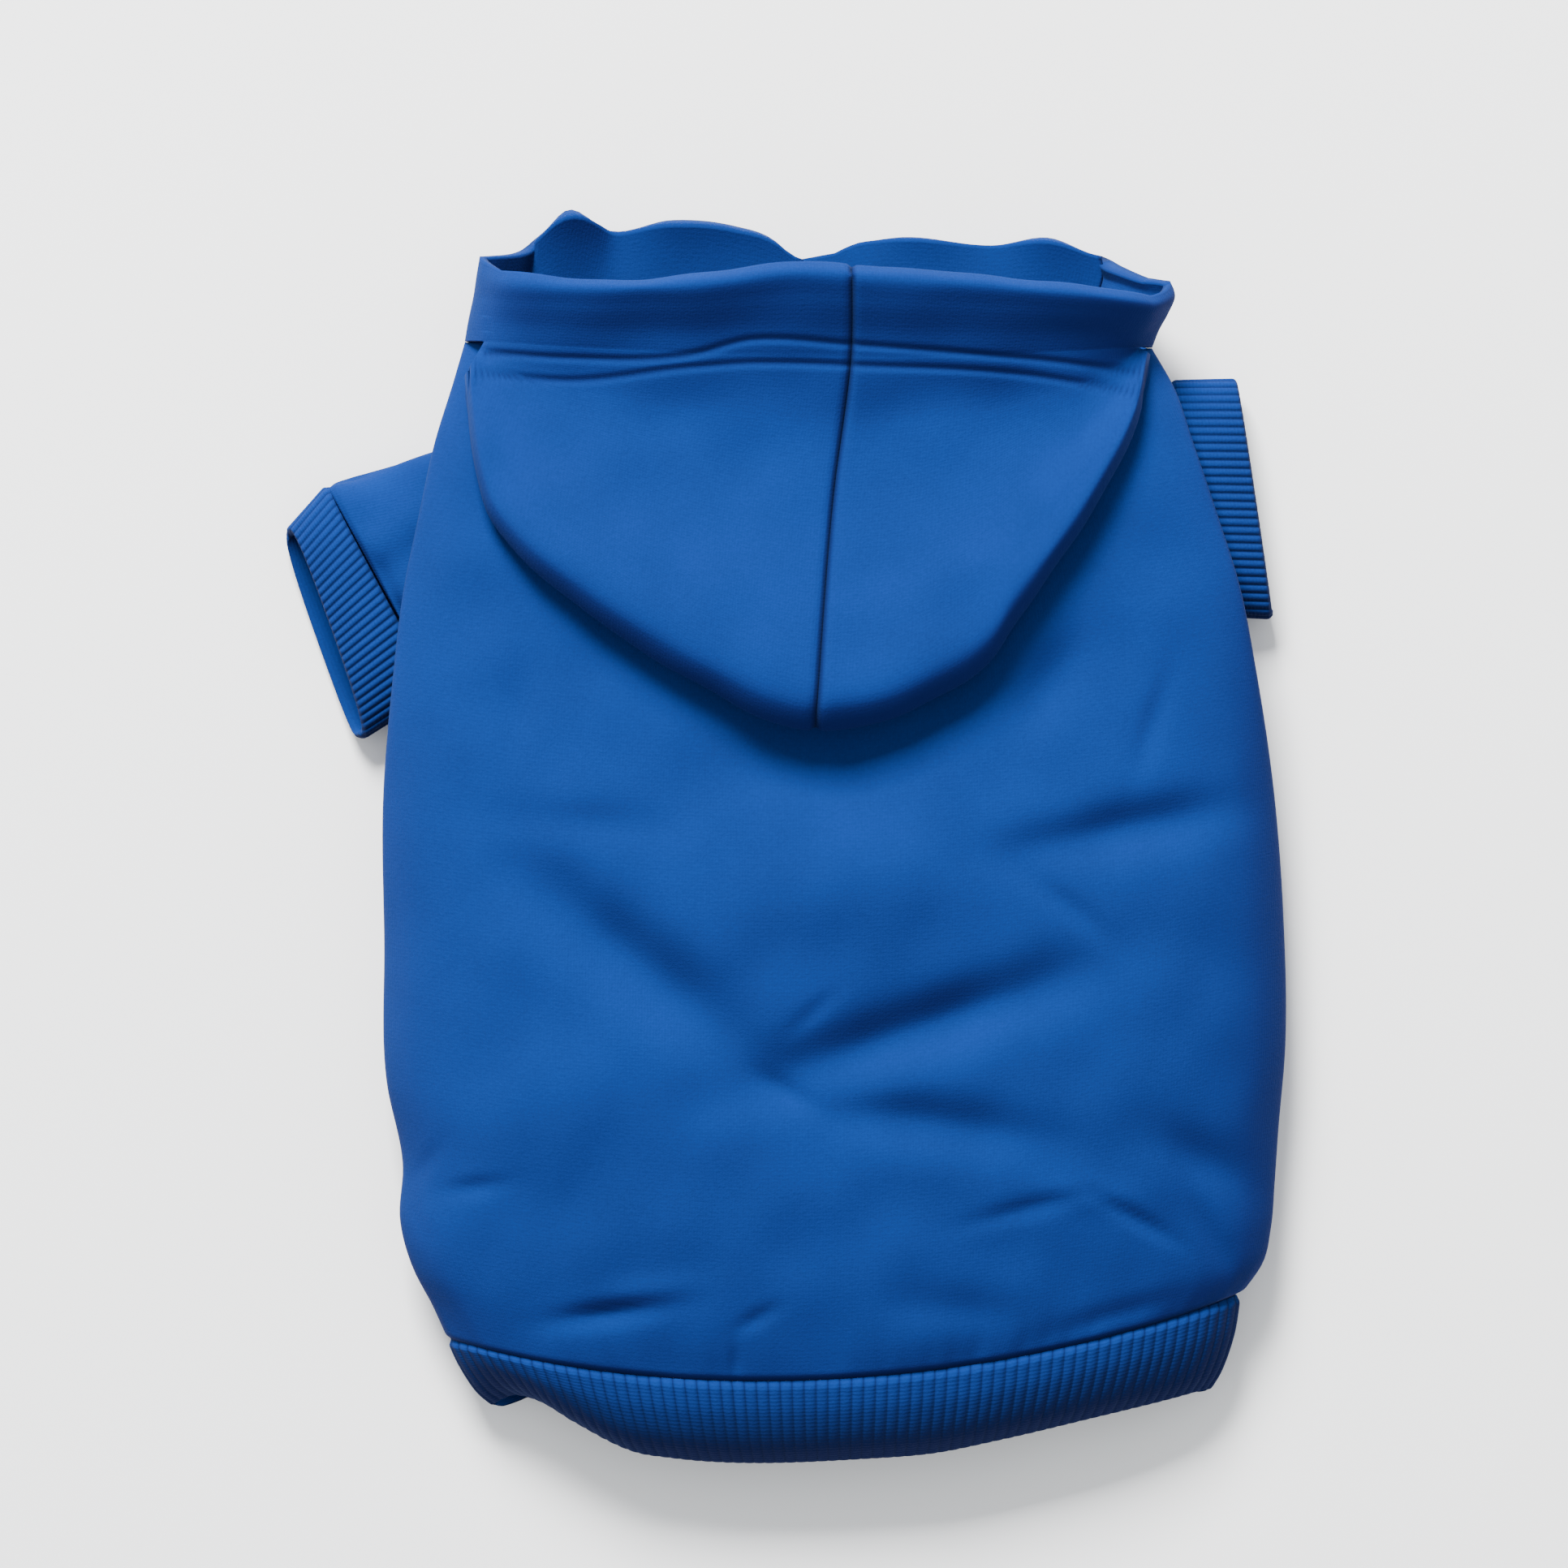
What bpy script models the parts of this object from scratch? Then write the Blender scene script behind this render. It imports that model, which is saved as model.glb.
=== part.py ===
"""Dog hoodie laid flat on its belly, with the hood folded down over the back.

The garment is cut from brushed fleece: a back panel, a belly panel, two sleeves and a hood in two
halves, finished with rib-knit cuffs and a rib-knit waistband. It is modelled as it lies: +Z is up,
+Y runs from the waist to the hood, and X runs across. The origin is under the middle of it.

Every wall is worked out from closed rings. A ring is one cut across the lying garment: it rests on the
floor, rolls round the left and right edges and comes back over the top.
"""

import bpy
import bmesh
import numpy as np

# Walls and seams, in metres.
FLEECE = 0.0024
RIB_KNIT = 0.0026
HEM_LAYERS = 2.0
SEAM_GAP = 0.0005
NECK_GAP = 0.0012
PANEL_CLEARANCE = 0.0012

# The body, from the waist seam to the neck seam.
BODY_LENGTH = 0.320
BODY_HALF_WIDTH = 0.145
BODY_HEIGHT = 0.046
WAIST_SLANT = 0.0145
NECK_SLANT = -0.0020
WAIST_BOW = -0.0188
NECK_BOW = -0.0080
BELLY_BOW = -0.0060

# The waistband, the sleeves and the cuffs.
WAISTBAND_REACH = 0.0255
CUFF_LENGTH = 0.0254
CUFF_HEIGHT = 0.0175
CUFF_LEAN = 0.0035

# The hood, from the neck seam.
HEM_REACH = 0.0270
HOOD_DEPTH = 0.125
HOOD_HEIGHT = 0.0510
CROWN_THICKNESS = 0.0150
CORNER_THICKNESS = 0.0066
NAPE_CLEARANCE = 0.0006


def table(columns, rows):
    """A short table as a dictionary from a column's name to its values."""
    return dict(zip(columns.split(), np.array(rows, float).T))


# Body sections, from the waist (0) to the neck (1). Widths and tucks are shares of BODY_HALF_WIDTH, and
# heights are shares of BODY_HEIGHT. The rim is the outermost fold, and the tuck is how far the underside
# is drawn in below it, which is furthest where the garment has slid over its own sleeves.
BODY_SECTIONS = table(
    "at left right height rim_left rim_right tuck_left tuck_right",
    [
        (0.000, 0.855, 0.897, 0.78, 0.37, 0.37, 0.090, 0.090),
        (0.035, 0.889, 0.948, 0.84, 0.37, 0.37, 0.090, 0.090),
        (0.070, 0.930, 0.965, 0.88, 0.37, 0.37, 0.088, 0.088),
        (0.120, 0.961, 0.974, 0.92, 0.36, 0.36, 0.086, 0.086),
        (0.175, 0.955, 0.982, 0.95, 0.36, 0.36, 0.085, 0.085),
        (0.260, 0.991, 0.997, 0.99, 0.36, 0.36, 0.085, 0.085),
        (0.400, 0.996, 0.993, 1.00, 0.37, 0.37, 0.085, 0.085),
        (0.545, 0.997, 0.968, 0.96, 0.46, 0.43, 0.105, 0.110),
        (0.660, 0.975, 0.930, 0.89, 0.56, 0.54, 0.150, 0.210),
        (0.750, 0.951, 0.892, 0.85, 0.58, 0.60, 0.155, 0.320),
        (0.830, 0.915, 0.839, 0.83, 0.57, 0.61, 0.150, 0.340),
        (0.900, 0.882, 0.790, 0.81, 0.52, 0.60, 0.120, 0.310),
        (0.960, 0.842, 0.747, 0.78, 0.46, 0.53, 0.095, 0.200),
        (1.000, 0.817, 0.701, 0.74, 0.42, 0.44, 0.085, 0.110),
    ],
)

# Waistband sections, from the seam (0) to the free edge (1), as shares of the seam's own ring. The reach is
# how far down the band each section has come.
WAISTBAND_SECTIONS = table(
    "at left right height rim reach",
    [
        (0.00, 1.000, 1.000, 1.000, 1.00, 0.00),
        (0.35, 0.968, 0.985, 0.940, 0.93, 0.40),
        (0.70, 0.925, 0.955, 0.800, 0.80, 0.78),
        (1.00, 0.882, 0.925, 0.600, 0.66, 1.00),
    ],
)

# The waistband's free edge, from left to right: how far past the waist line its top and its floor side
# come, as shares of WAISTBAND_REACH. Across is a share of BODY_HALF_WIDTH.
WAISTBAND_EDGE = table(
    "across top floor",
    [
        (-0.78, 0.86, 0.92),
        (-0.70, 0.70, 0.80),
        (-0.645, 0.78, 0.72),
        (-0.57, 1.04, 0.80),
        (-0.43, 1.43, 1.05),
        (-0.36, 1.49, 1.15),
        (0.07, 1.50, 1.30),
        (0.22, 1.43, 1.20),
        (0.36, 1.27, 1.05),
        (0.57, 0.99, 0.85),
        (0.72, 0.79, 0.72),
        (0.82, 0.65, 0.65),
    ],
)

# Hem sections of the face opening, from the stitched line (0) to the folded edge (1). Widths and rims are
# shares of the neck ring's, and heights are shares of HOOD_HEIGHT. The reach is a share of HEM_REACH.
HEM_SECTIONS = table(
    "at left right height rim reach_left reach_right reach_top reach_floor",
    [
        (0.00, 1.000, 1.000, 1.000, 1.00, 0.00, 0.00, 0.09, 0.00),
        (0.25, 0.990, 1.020, 1.050, 1.06, 0.25, 0.20, 0.34, 0.30),
        (0.55, 0.975, 1.050, 1.125, 1.16, 0.55, 0.42, 0.62, 0.66),
        (0.82, 0.965, 1.070, 1.145, 1.26, 0.83, 0.64, 0.84, 1.00),
        (1.00, 0.958, 1.055, 1.085, 1.30, 1.00, 0.78, 0.95, 1.20),
    ],
)

# The lower lip of the face opening, from left to right: how far it reaches, as a share of HEM_REACH, and
# how high its soft waves stand, as a share of HOOD_HEIGHT. Across is a share of BODY_HALF_WIDTH.
LOWER_LIP = table(
    "across reach lift",
    [
        (-0.80, 1.00, 0.00),
        (-0.70, 1.13, 0.07),
        (-0.645, 1.34, 0.12),
        (-0.597, 1.58, 0.20),
        (-0.50, 1.36, 0.05),
        (-0.36, 1.48, 0.12),
        (-0.22, 1.41, 0.10),
        (-0.14, 1.27, 0.07),
        (-0.09, 1.06, 0.03),
        (0.07, 1.23, 0.01),
        (0.14, 1.28, 0.05),
        (0.36, 1.19, 0.02),
        (0.48, 1.27, 0.09),
        (0.57, 1.09, 0.04),
        (0.65, 1.00, 0.00),
        (0.73, 0.84, 0.00),
    ],
)

# The outline of the laid hood's fold, from the left corner of the neck round the crown to the right corner.
# Across is a share of BODY_HALF_WIDTH, and back is a share of HOOD_DEPTH behind the neck seam.
HOOD_OUTLINE = table(
    "across back",
    [
        (-0.817, 0.000),
        (-0.810, 0.187),
        (-0.778, 0.395),
        (-0.754, 0.468),
        (-0.688, 0.562),
        (-0.473, 0.753),
        (-0.258, 0.898),
        (-0.069, 0.992),
        (0.065, 0.988),
        (0.155, 0.962),
        (0.244, 0.910),
        (0.316, 0.856),
        (0.361, 0.806),
        (0.405, 0.718),
        (0.549, 0.468),
        (0.666, 0.208),
        (0.701, 0.000),
    ],
)
CROWN_SHARE = 0.5

# Folds and swells of the back panel. Across is a share of BODY_HALF_WIDTH and along a share of
# BODY_LENGTH. Run and width are the half sizes as shares of BODY_LENGTH, turn is in degrees, and depth is a
# share of BODY_HEIGHT, positive for a valley.
BACK_FOLDS = table(
    "across along run width turn depth",
    [
        (-0.42, 0.37, 0.155, 0.038, -41.0, 0.140),
        (0.17, 0.31, 0.155, 0.030, 19.0, 0.130),
        (0.19, 0.22, 0.120, 0.027, -8.0, 0.080),
        (0.62, 0.51, 0.120, 0.025, 11.0, 0.080),
        (0.05, 0.46, 0.150, 0.065, 4.0, -0.080),
        (0.82, 0.18, 0.065, 0.025, -28.0, 0.050),
        (0.48, 0.66, 0.060, 0.028, 60.0, 0.055),
        (-0.62, 0.24, 0.130, 0.060, 35.0, -0.045),
    ],
)

# The armholes, as stretches of the body's length.
LEFT_ARMHOLE = (0.610, 0.906)
RIGHT_ARMHOLE = (0.700, 0.966)
ARMHOLE_BACK_CUT = 0.75
ARMHOLE_BELLY_CUT = 1.00

# Each cuff's seam and free edge, seen from above, as the ends of its upper and lower folds. Across is a
# share of BODY_HALF_WIDTH and along a share of BODY_LENGTH.
CUFF_ENDS = {
    "left": {"seam": ((-1.125, 0.858), (-0.880, 0.650)), "edge": ((-1.215, 0.812), (-1.050, 0.602))},
    "right": {"seam": ((0.742, 0.962), (0.806, 0.728)), "edge": ((0.893, 0.964), (0.972, 0.724))},
}

# How finely the rings are cut. The numbers are steps between one ring point and the next.
UNDER_STEPS = (2, 2)
EDGE_STEPS = (2, 3)
TOP_STEPS = (3, 2, 4, 4)
BODY_STEP = 0.0105
POUCH_ROWS = (6, 5, 5)

# The ring's own points, counted from the middle of the floor side.
FLOOR, FOOT, SEAM, UNDER, RIM, BROW, SHOULDER, MIDDLE, TOP = 0, 2, 3, 4, 5, 6, 7, 8, 9
RING = 18
CORNER = 5.9
THROAT = 0.2


def between(at, known, values):
    """Values read smoothly from a table: the curve passes through every row."""
    at = np.atleast_1d(np.asarray(at, float))
    slope = np.gradient(values, known)
    i = np.clip(np.searchsorted(known, at) - 1, 0, len(known) - 2)
    gap = known[i + 1] - known[i]
    q = np.clip((at - known[i]) / gap, 0, 1)
    return (
        (2 * q**3 - 3 * q**2 + 1) * values[i]
        + (q**3 - 2 * q**2 + q) * gap * slope[i]
        + (3 * q**2 - 2 * q**3) * values[i + 1]
        + (q**3 - q**2) * gap * slope[i + 1]
    )


def rows_of(source, at):
    """Every column of a table at the given places."""
    return {name: between(at, source["at"], column) for name, column in source.items()}


def through(points, at, closed):
    """A smooth curve through each row of points, read at the given point numbers, which may be fractions."""
    count = points.shape[1]
    if closed:
        points = np.concatenate([points[:, -1:], points, points[:, :2]], axis=1)
    else:
        first = 2 * points[:, :1] - points[:, 1:2]
        last = 2 * points[:, -1:] - points[:, -2:-1]
        points = np.concatenate([first, points, last], axis=1)
    step = np.sqrt(np.linalg.norm(np.diff(points, axis=1), axis=2)) + 1e-9
    before, after = step[:, :-1, None], step[:, 1:, None]
    rate = np.diff(points, axis=1) / step[:, :, None]
    slope = (rate[:, :-1] * after + rate[:, 1:] * before) / (before + after)
    at = np.broadcast_to(np.asarray(at, float), (len(points), np.shape(at)[-1]))
    at = at % count if closed else np.clip(at, 0, count - 1 - 1e-9)
    i = np.floor(at).astype(int)
    q = (at - i)[:, :, None]
    row = np.arange(len(points))[:, None]
    start, end = points[row, i + 1], points[row, i + 2]
    out, into = slope[row, i], slope[row, np.minimum(i + 1, slope.shape[1] - 1)]
    span = step[row, i + 1][:, :, None]
    return (
        (2 * q**3 - 3 * q**2 + 1) * start
        + (q**3 - 2 * q**2 + q) * span * out
        + (3 * q**2 - 2 * q**3) * end
        + (q**3 - q**2) * span * into
    )


def half_ring(width, height, rim, tuck):
    """One half of a ring, as (across, up) from the middle of the floor side to the middle of the top."""
    rise = height - rim
    foot = width - 1.12 * tuck - 0.12 * rim
    nothing = 0 * width
    across = [
        nothing,
        0.55 * foot,
        foot,
        width - 0.92 * tuck,
        width - 0.42 * tuck,
        width,
        0.935 * width,
        0.765 * width,
        0.42 * width,
        nothing,
    ]
    up = [
        nothing,
        nothing,
        nothing,
        0.42 * rim,
        0.79 * rim,
        rim,
        rim + 0.44 * rise,
        rim + 0.79 * rise,
        rim + 0.97 * rise,
        height,
    ]
    return np.stack([np.array(across), np.array(up)], axis=-1)


def ring_points(rings, at):
    """Points on the outside of the cloth for a stack of rings, at the given ring places."""
    left = half_ring(rings["left"], rings["height"], rings["rim_left"], rings["tuck_left"])
    right = half_ring(rings["right"], rings["height"], rings["rim_right"], rings["tuck_right"])
    left[..., 0] *= -1
    control = np.concatenate([left, right[1:-1][::-1]]).transpose(1, 0, 2)
    flat = through(control, at, closed=True)
    x, z = flat[..., 0], np.maximum(flat[..., 1], 0)
    wide = np.where(x < 0, rings["left"][:, None], rings["right"][:, None])
    share = np.clip(x / wide, -1, 1)
    place = np.broadcast_to(np.asarray(at, float), x.shape) % RING
    over = (place > RIM) & (place < RING - RIM)
    bow = np.where(over, rings["bow_top"][:, None], rings["bow_floor"][:, None])
    side = (1 + share) / 2
    y = (1 - side) * rings["y_left"][:, None] + side * rings["y_right"][:, None] + bow * (1 - share**2)
    return np.stack([x, y, z], axis=-1)


def body_rings(at):
    """The body's rings at the given shares of its length."""
    at = np.atleast_1d(np.asarray(at, float))
    rows = rows_of(BODY_SECTIONS, at)
    rings = {name: rows[name] * BODY_HALF_WIDTH for name in ("left", "right", "tuck_left", "tuck_right")}
    rings |= {name: rows[name] * BODY_HEIGHT for name in ("height", "rim_left", "rim_right")}
    rings["y_left"] = BODY_LENGTH * at
    rings["y_right"] = WAIST_SLANT + (BODY_LENGTH + NECK_SLANT - WAIST_SLANT) * at
    rings["bow_top"] = WAIST_BOW + (NECK_BOW - WAIST_BOW) * at
    rings["bow_floor"] = BELLY_BOW * (1 - at)
    return rings


def fold_depth(x, y):
    """How far the back panel sinks into its folds at a place seen from above."""
    depth = 0 * x
    for across, along, run, width, turn, deep in zip(*BACK_FOLDS.values()):
        dx, dy = x - across * BODY_HALF_WIDTH, y - along * BODY_LENGTH
        turn = np.radians(turn)
        length = (dx * np.cos(turn) + dy * np.sin(turn)) / (run * BODY_LENGTH)
        breadth = (dy * np.cos(turn) - dx * np.sin(turn)) / (width * BODY_LENGTH)
        depth = depth + deep * BODY_HEIGHT * np.exp(-(length**2) - breadth**2)
    return depth


def body_points(at, places):
    """Points on the outside of the body, with the folds of the back pressed in."""
    points = ring_points(body_rings(at), places)
    place = np.broadcast_to(np.asarray(places, float), points.shape[:2]) % RING
    over = np.clip((np.minimum(place, RING - place) - RIM) / (SHOULDER - RIM), 0, 1)
    points[..., 2] -= fold_depth(points[..., 0], points[..., 1]) * over * over * (3 - 2 * over)
    return points


def body_top(x, y):
    """The height of the body's upper surface at places seen from above."""
    finest = np.linspace(RIM, RING - RIM, 161)
    rows = np.linspace(0, 1, 81)
    surface = body_points(rows, finest)
    heights = []
    for px, py in zip(np.ravel(x), np.ravel(y)):
        along = [np.interp(px, line[:, 0], line[:, 1]) for line in surface]
        up = [np.interp(px, line[:, 0], line[:, 2]) for line in surface]
        heights.append(np.interp(py, along, up))
    return np.reshape(heights, np.shape(x))


def steps_through(marks, counts):
    """Places from each mark to the next, in the given numbers of steps."""
    found = [np.linspace(a, b, n, endpoint=False) for a, b, n in zip(marks, marks[1:], counts)]
    return np.concatenate([*found, [marks[-1]]])


def lens(at, hole):
    """How far an armhole is open at a share of the body's length: 0 outside it and 1 in its middle."""
    q = np.clip((at - hole[0]) / (hole[1] - hole[0]), 0, 1)
    return np.sin(np.pi * q) ** 0.8


def body_rows():
    """The shares of the body's length that its rings stand at, with one at each end of each armhole."""
    marks = sorted({0.0, *LEFT_ARMHOLE, *RIGHT_ARMHOLE, 1.0})
    return steps_through(marks, [round((b - a) * BODY_LENGTH / BODY_STEP) for a, b in zip(marks, marks[1:])])


def back_places(at):
    """The ring places of the back panel's points, from its left border over the top to its right border."""
    rise = steps_through((0.0, 0.5, 1.0), EDGE_STEPS)
    top = steps_through((RIM, BROW, SHOULDER, MIDDLE, TOP), TOP_STEPS)
    top = np.concatenate([top, RING - top[-2::-1]])[1:-1]
    left = SEAM + ARMHOLE_BACK_CUT * lens(at, LEFT_ARMHOLE)
    right = SEAM + ARMHOLE_BACK_CUT * lens(at, RIGHT_ARMHOLE)
    return np.concatenate([left + rise * (RIM - left), top, RING - (right + rise[::-1] * (RIM - right))])


def belly_places(at):
    """The ring places of the belly panel's points, from its right border under the body to its left."""
    out = steps_through((0.0, 0.5, 1.0), UNDER_STEPS)
    left = SEAM - ARMHOLE_BELLY_CUT * lens(at, LEFT_ARMHOLE)
    right = SEAM - ARMHOLE_BELLY_CUT * lens(at, RIGHT_ARMHOLE)
    inner = steps_through((-1.0, 0.0, 1.0), UNDER_STEPS)
    return np.concatenate([-(1 + out[::-1] * (right - 1)), inner[1:-1], 1 + out * (left - 1)])


class Cloth:
    """One connected sheet of cloth, given by its outer side, which is then parted into sewn pieces."""

    def __init__(self):
        self.mesh = bmesh.new()
        self.piece = self.mesh.faces.layers.int.new("piece")
        self.names = []

    def add_points(self, points):
        return [[self.mesh.verts.new(p) for p in row] for row in points]

    def add_face(self, piece, corners):
        self.mesh.faces.new(corners)[self.piece] = self.number(piece)

    def number(self, piece):
        if piece not in self.names:
            self.names.append(piece)
        return self.names.index(piece)

    def add_grid(self, piece, points, closed=False):
        """Adds a net of four-sided faces. piece is a name, or a function from the column to a name."""
        name = piece if callable(piece) else lambda column: piece
        rows = self.add_points(points)
        for low, high in zip(rows, rows[1:]):
            for c in range(len(low) if closed else len(low) - 1):
                d = (c + 1) % len(low)
                self.add_face(name(c), [low[c], low[d], high[d], high[c]])
        return rows

    def sew(self):
        """Joins points that share a place, and turns every face outwards."""
        bmesh.ops.remove_doubles(self.mesh, verts=self.mesh.verts, dist=1e-6)
        bmesh.ops.recalc_face_normals(self.mesh, faces=self.mesh.faces)
        highest = max(self.mesh.faces, key=lambda f: f.calc_center_median().z)
        if highest.normal.z < 0:
            bmesh.ops.reverse_faces(self.mesh, faces=self.mesh.faces)
        self.mesh.normal_update()
        self.mesh.verts.index_update()

    def outer(self, vertex):
        """The direction out of the cloth at a point: the faces' normals, weighted by their angles."""
        total = sum((loop.face.normal * loop.calc_angle() for loop in vertex.link_loops), start=vertex.normal * 0)
        return total.normalized()

    def cut(self, piece, wall, material):
        """Makes one piece as a solid: its outer side, its inner side and the cut edges between them."""
        number = self.number(piece)
        faces = [f for f in self.mesh.faces if f[self.piece] == number]
        verts = sorted({v for f in faces for v in f.verts}, key=lambda v: v.index)
        own, inside, solid = {}, {}, bmesh.new()
        for v in verts:
            place = v.co + self.inset(v, number) * SEAM_GAP * 0.55
            own[v] = solid.verts.new(place)
            inside[v] = solid.verts.new(place - self.outer(v) * wall(v.co))
        for f in faces:
            solid.faces.new([own[v] for v in f.verts])
            solid.faces.new([inside[v] for v in reversed(f.verts)])
            for loop in f.loops:
                if not any(o.face is not f and o.face[self.piece] == number for o in loop.edge.link_loops):
                    a, b = loop.vert, loop.link_loop_next.vert
                    if a.index < b.index:
                        solid.faces.new([own[b], own[a], inside[b]])
                        solid.faces.new([own[a], inside[a], inside[b]])
                    else:
                        solid.faces.new([own[b], own[a], inside[a]])
                        solid.faces.new([own[b], inside[a], inside[b]])
        return show(piece, solid, material)

    def inset(self, vertex, number):
        """The way back from the seams round a point, for one unit of gap on each side."""
        ways = []
        for loop in (o for f in vertex.link_faces if f[self.piece] == number for o in f.loops):
            sewn = any(o.face[self.piece] != number for o in loop.edge.link_loops)
            if sewn and vertex in loop.edge.verts:
                along = (loop.link_loop_next.vert.co - loop.vert.co).normalized()
                ways.append(loop.face.normal.cross(along))
        if not ways:
            return vertex.co * 0
        total = sum(ways, start=vertex.co * 0)
        return total / max(total.dot(ways[0]), 0.4)


def show(name, solid, material):
    """Puts a finished mesh in the scene as an object of that name."""
    bmesh.ops.triangulate(solid, faces=solid.faces, quad_method="SHORT_EDGE", ngon_method="BEAUTY")
    mesh = bpy.data.meshes.new(name)
    solid.to_mesh(mesh)
    solid.free()
    mesh.shade_smooth()
    mesh.materials.append(material)
    piece = bpy.data.objects.new(name, mesh)
    bpy.context.scene.collection.objects.link(piece)
    return piece


def cloth_material(name, colour, roughness):
    material = bpy.data.materials.new(name)
    material.use_nodes = True
    shader = material.node_tree.nodes["Principled BSDF"]
    shader.inputs["Base Color"].default_value = (*colour, 1)
    shader.inputs["Roughness"].default_value = roughness
    shader.inputs["Metallic"].default_value = 0
    return material


def flat_ring(ends, height, count, lean):
    """A flattened tube's ring that lies on the floor: its top side from the first end, then its underside."""
    first, last = [np.array([across * BODY_HALF_WIDTH, along * BODY_LENGTH]) for across, along in ends]
    middle, reach = (first + last) / 2, (first - last) / 2
    out = np.array([reach[1], -reach[0]]) / np.linalg.norm(reach)
    out = out if out @ middle * np.sign(middle[0]) * middle[0] > 0 else -out
    turn = 2 * np.pi * np.arange(count) / count
    across = np.sign(np.cos(turn)) * np.abs(np.cos(turn)) ** 0.8
    up = np.sign(np.sin(turn)) * np.abs(np.sin(turn)) ** 0.7
    plan = middle + across[:, None] * reach - (lean * up)[:, None] * out
    return np.column_stack([plan, height * (0.5 + 0.5 * up)])


def add_body(cloth, rows):
    """The back and belly panels. Returns each armhole's border, as its upper and its lower run of points."""
    back = [body_points([at], back_places(at))[0] for at in rows]
    belly = [body_points([at], belly_places(at))[0] for at in rows]
    cloth.add_grid("back_panel", back)
    cloth.add_grid("belly_panel", belly)
    holes = {}
    for side, hole, column in (("left", LEFT_ARMHOLE, 0), ("right", RIGHT_ARMHOLE, -1)):
        inside = [i for i, at in enumerate(rows) if hole[0] - 1e-9 <= at <= hole[1] + 1e-9]
        upper = [back[i][column] for i in reversed(inside)]
        lower = [belly[i][-1 - column] for i in inside]
        holes[side] = np.array([*upper, *lower[1:-1]])
    return holes


def add_sleeve(cloth, side, hole):
    """A sleeve from its armhole out to the cuff seam, and the rib-knit cuff from there to its free edge."""
    ends = CUFF_ENDS[side]
    seam = flat_ring(ends["seam"], CUFF_HEIGHT, len(hole), 0)
    edge = flat_ring(ends["edge"], CUFF_HEIGHT * 0.9, len(hole), CUFF_LEAN)
    seam[:, 2] = np.minimum(seam[:, 2], CUFF_HEIGHT)
    sleeve = [(1 - q) * hole + q * seam for q in np.linspace(0, 1, 5)]
    cuff = [(1 - q) * seam + q * edge for q in np.linspace(0, 1, 4)]
    for q, ring in zip(np.linspace(0, 1, 4), cuff):
        ring[:, 2] *= 1 + 0.12 * np.sin(np.pi * q)
    cloth.add_grid(f"sleeve_{side}", sleeve, closed=True)
    cloth.add_grid(f"cuff_{side}", cuff, closed=True)


def add_waistband(cloth, rows):
    """The rib-knit waistband, which carries on from the body's first ring and rolls down at the tail."""
    seam = body_rings([rows[0]])
    made = rows_of(WAISTBAND_SECTIONS, np.linspace(0, 1, 6))
    rings = {name: made[name] * seam[name] for name in ("left", "right", "height")}
    for side in ("left", "right"):
        rings[f"rim_{side}"] = made["rim"] * seam[f"rim_{side}"]
        rings[f"tuck_{side}"] = made["rim"] * seam[f"tuck_{side}"]
    rings |= {name: seam[name] + 0 * made["at"] for name in ("y_left", "y_right", "bow_top", "bow_floor")}
    places = np.concatenate([back_places(rows[0])[:-1], RING + belly_places(rows[0])[:-1]])
    points = ring_points(rings, places)
    points[0] = body_points([rows[0]], places)[0]
    near = np.minimum(places % RING, RING - places % RING)
    over = np.clip((near - UNDER) / (BROW - UNDER), 0, 1)
    share = points[-1, :, 0] / BODY_HALF_WIDTH
    top, floor = [between(share, WAISTBAND_EDGE["across"], WAISTBAND_EDGE[name]) for name in ("top", "floor")]
    edge = -WAISTBAND_REACH * (top * over + floor * (1 - over))
    points[..., 1] += (edge - points[..., 1]) * made["reach"][:, None]
    cloth.add_grid("waistband", points, closed=True)


def hood_places():
    """Ring places round the face opening, from the throat up the left side, over the top and down the right."""
    low = steps_through((THROAT, 1.0, FOOT, SEAM, UNDER, RIM), (3, 4, 2, 2, 2))
    edge = steps_through((RIM, CORNER, SHOULDER, MIDDLE, TOP), (2, 3, 4, 6))
    up = np.concatenate([low, edge[1:]])
    down = RING - np.concatenate([edge[::-1][1:], low[::-1][1:-1]])
    return np.concatenate([up, down, [RING + THROAT]])


def hem_points(places):
    """The hem's rings, from the stitched line at the neck to the folded edge of the face opening."""
    neck = body_rings([1.0])
    made = rows_of(HEM_SECTIONS, HEM_SECTIONS["at"])
    rings = {side: made[side] * neck[side] for side in ("left", "right")}
    rings["height"] = made["height"] * HOOD_HEIGHT
    for side in ("left", "right"):
        rings[f"rim_{side}"] = made["rim"] * neck[f"rim_{side}"]
        rings[f"tuck_{side}"] = neck[f"tuck_{side}"] + 0 * made["at"]
        rings[f"y_{side}"] = neck[f"y_{side}"] + NECK_GAP + made[f"reach_{side}"] * HEM_REACH
    middle = (made["reach_left"] + made["reach_right"]) / 2
    rings["bow_top"] = (made["reach_top"] - middle) * HEM_REACH
    rings["bow_floor"] = (made["reach_floor"] - middle) * HEM_REACH
    points = ring_points(rings, places)
    place = places % RING
    under = np.clip((UNDER - np.minimum(place, RING - place)) / (UNDER - FOOT), 0, 1)
    share = points[..., 0] / BODY_HALF_WIDTH
    out = made["at"][:, None] * under
    edge = BODY_LENGTH + between(share.ravel(), LOWER_LIP["across"], LOWER_LIP["reach"]).reshape(share.shape) * HEM_REACH
    lift = between(share.ravel(), LOWER_LIP["across"], LOWER_LIP["lift"]).reshape(share.shape) * HOOD_HEIGHT
    points[..., 1] += (edge - points[-1:, :, 1]) * out
    points[..., 2] += np.maximum(lift, 0) * out**2
    return points


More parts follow.
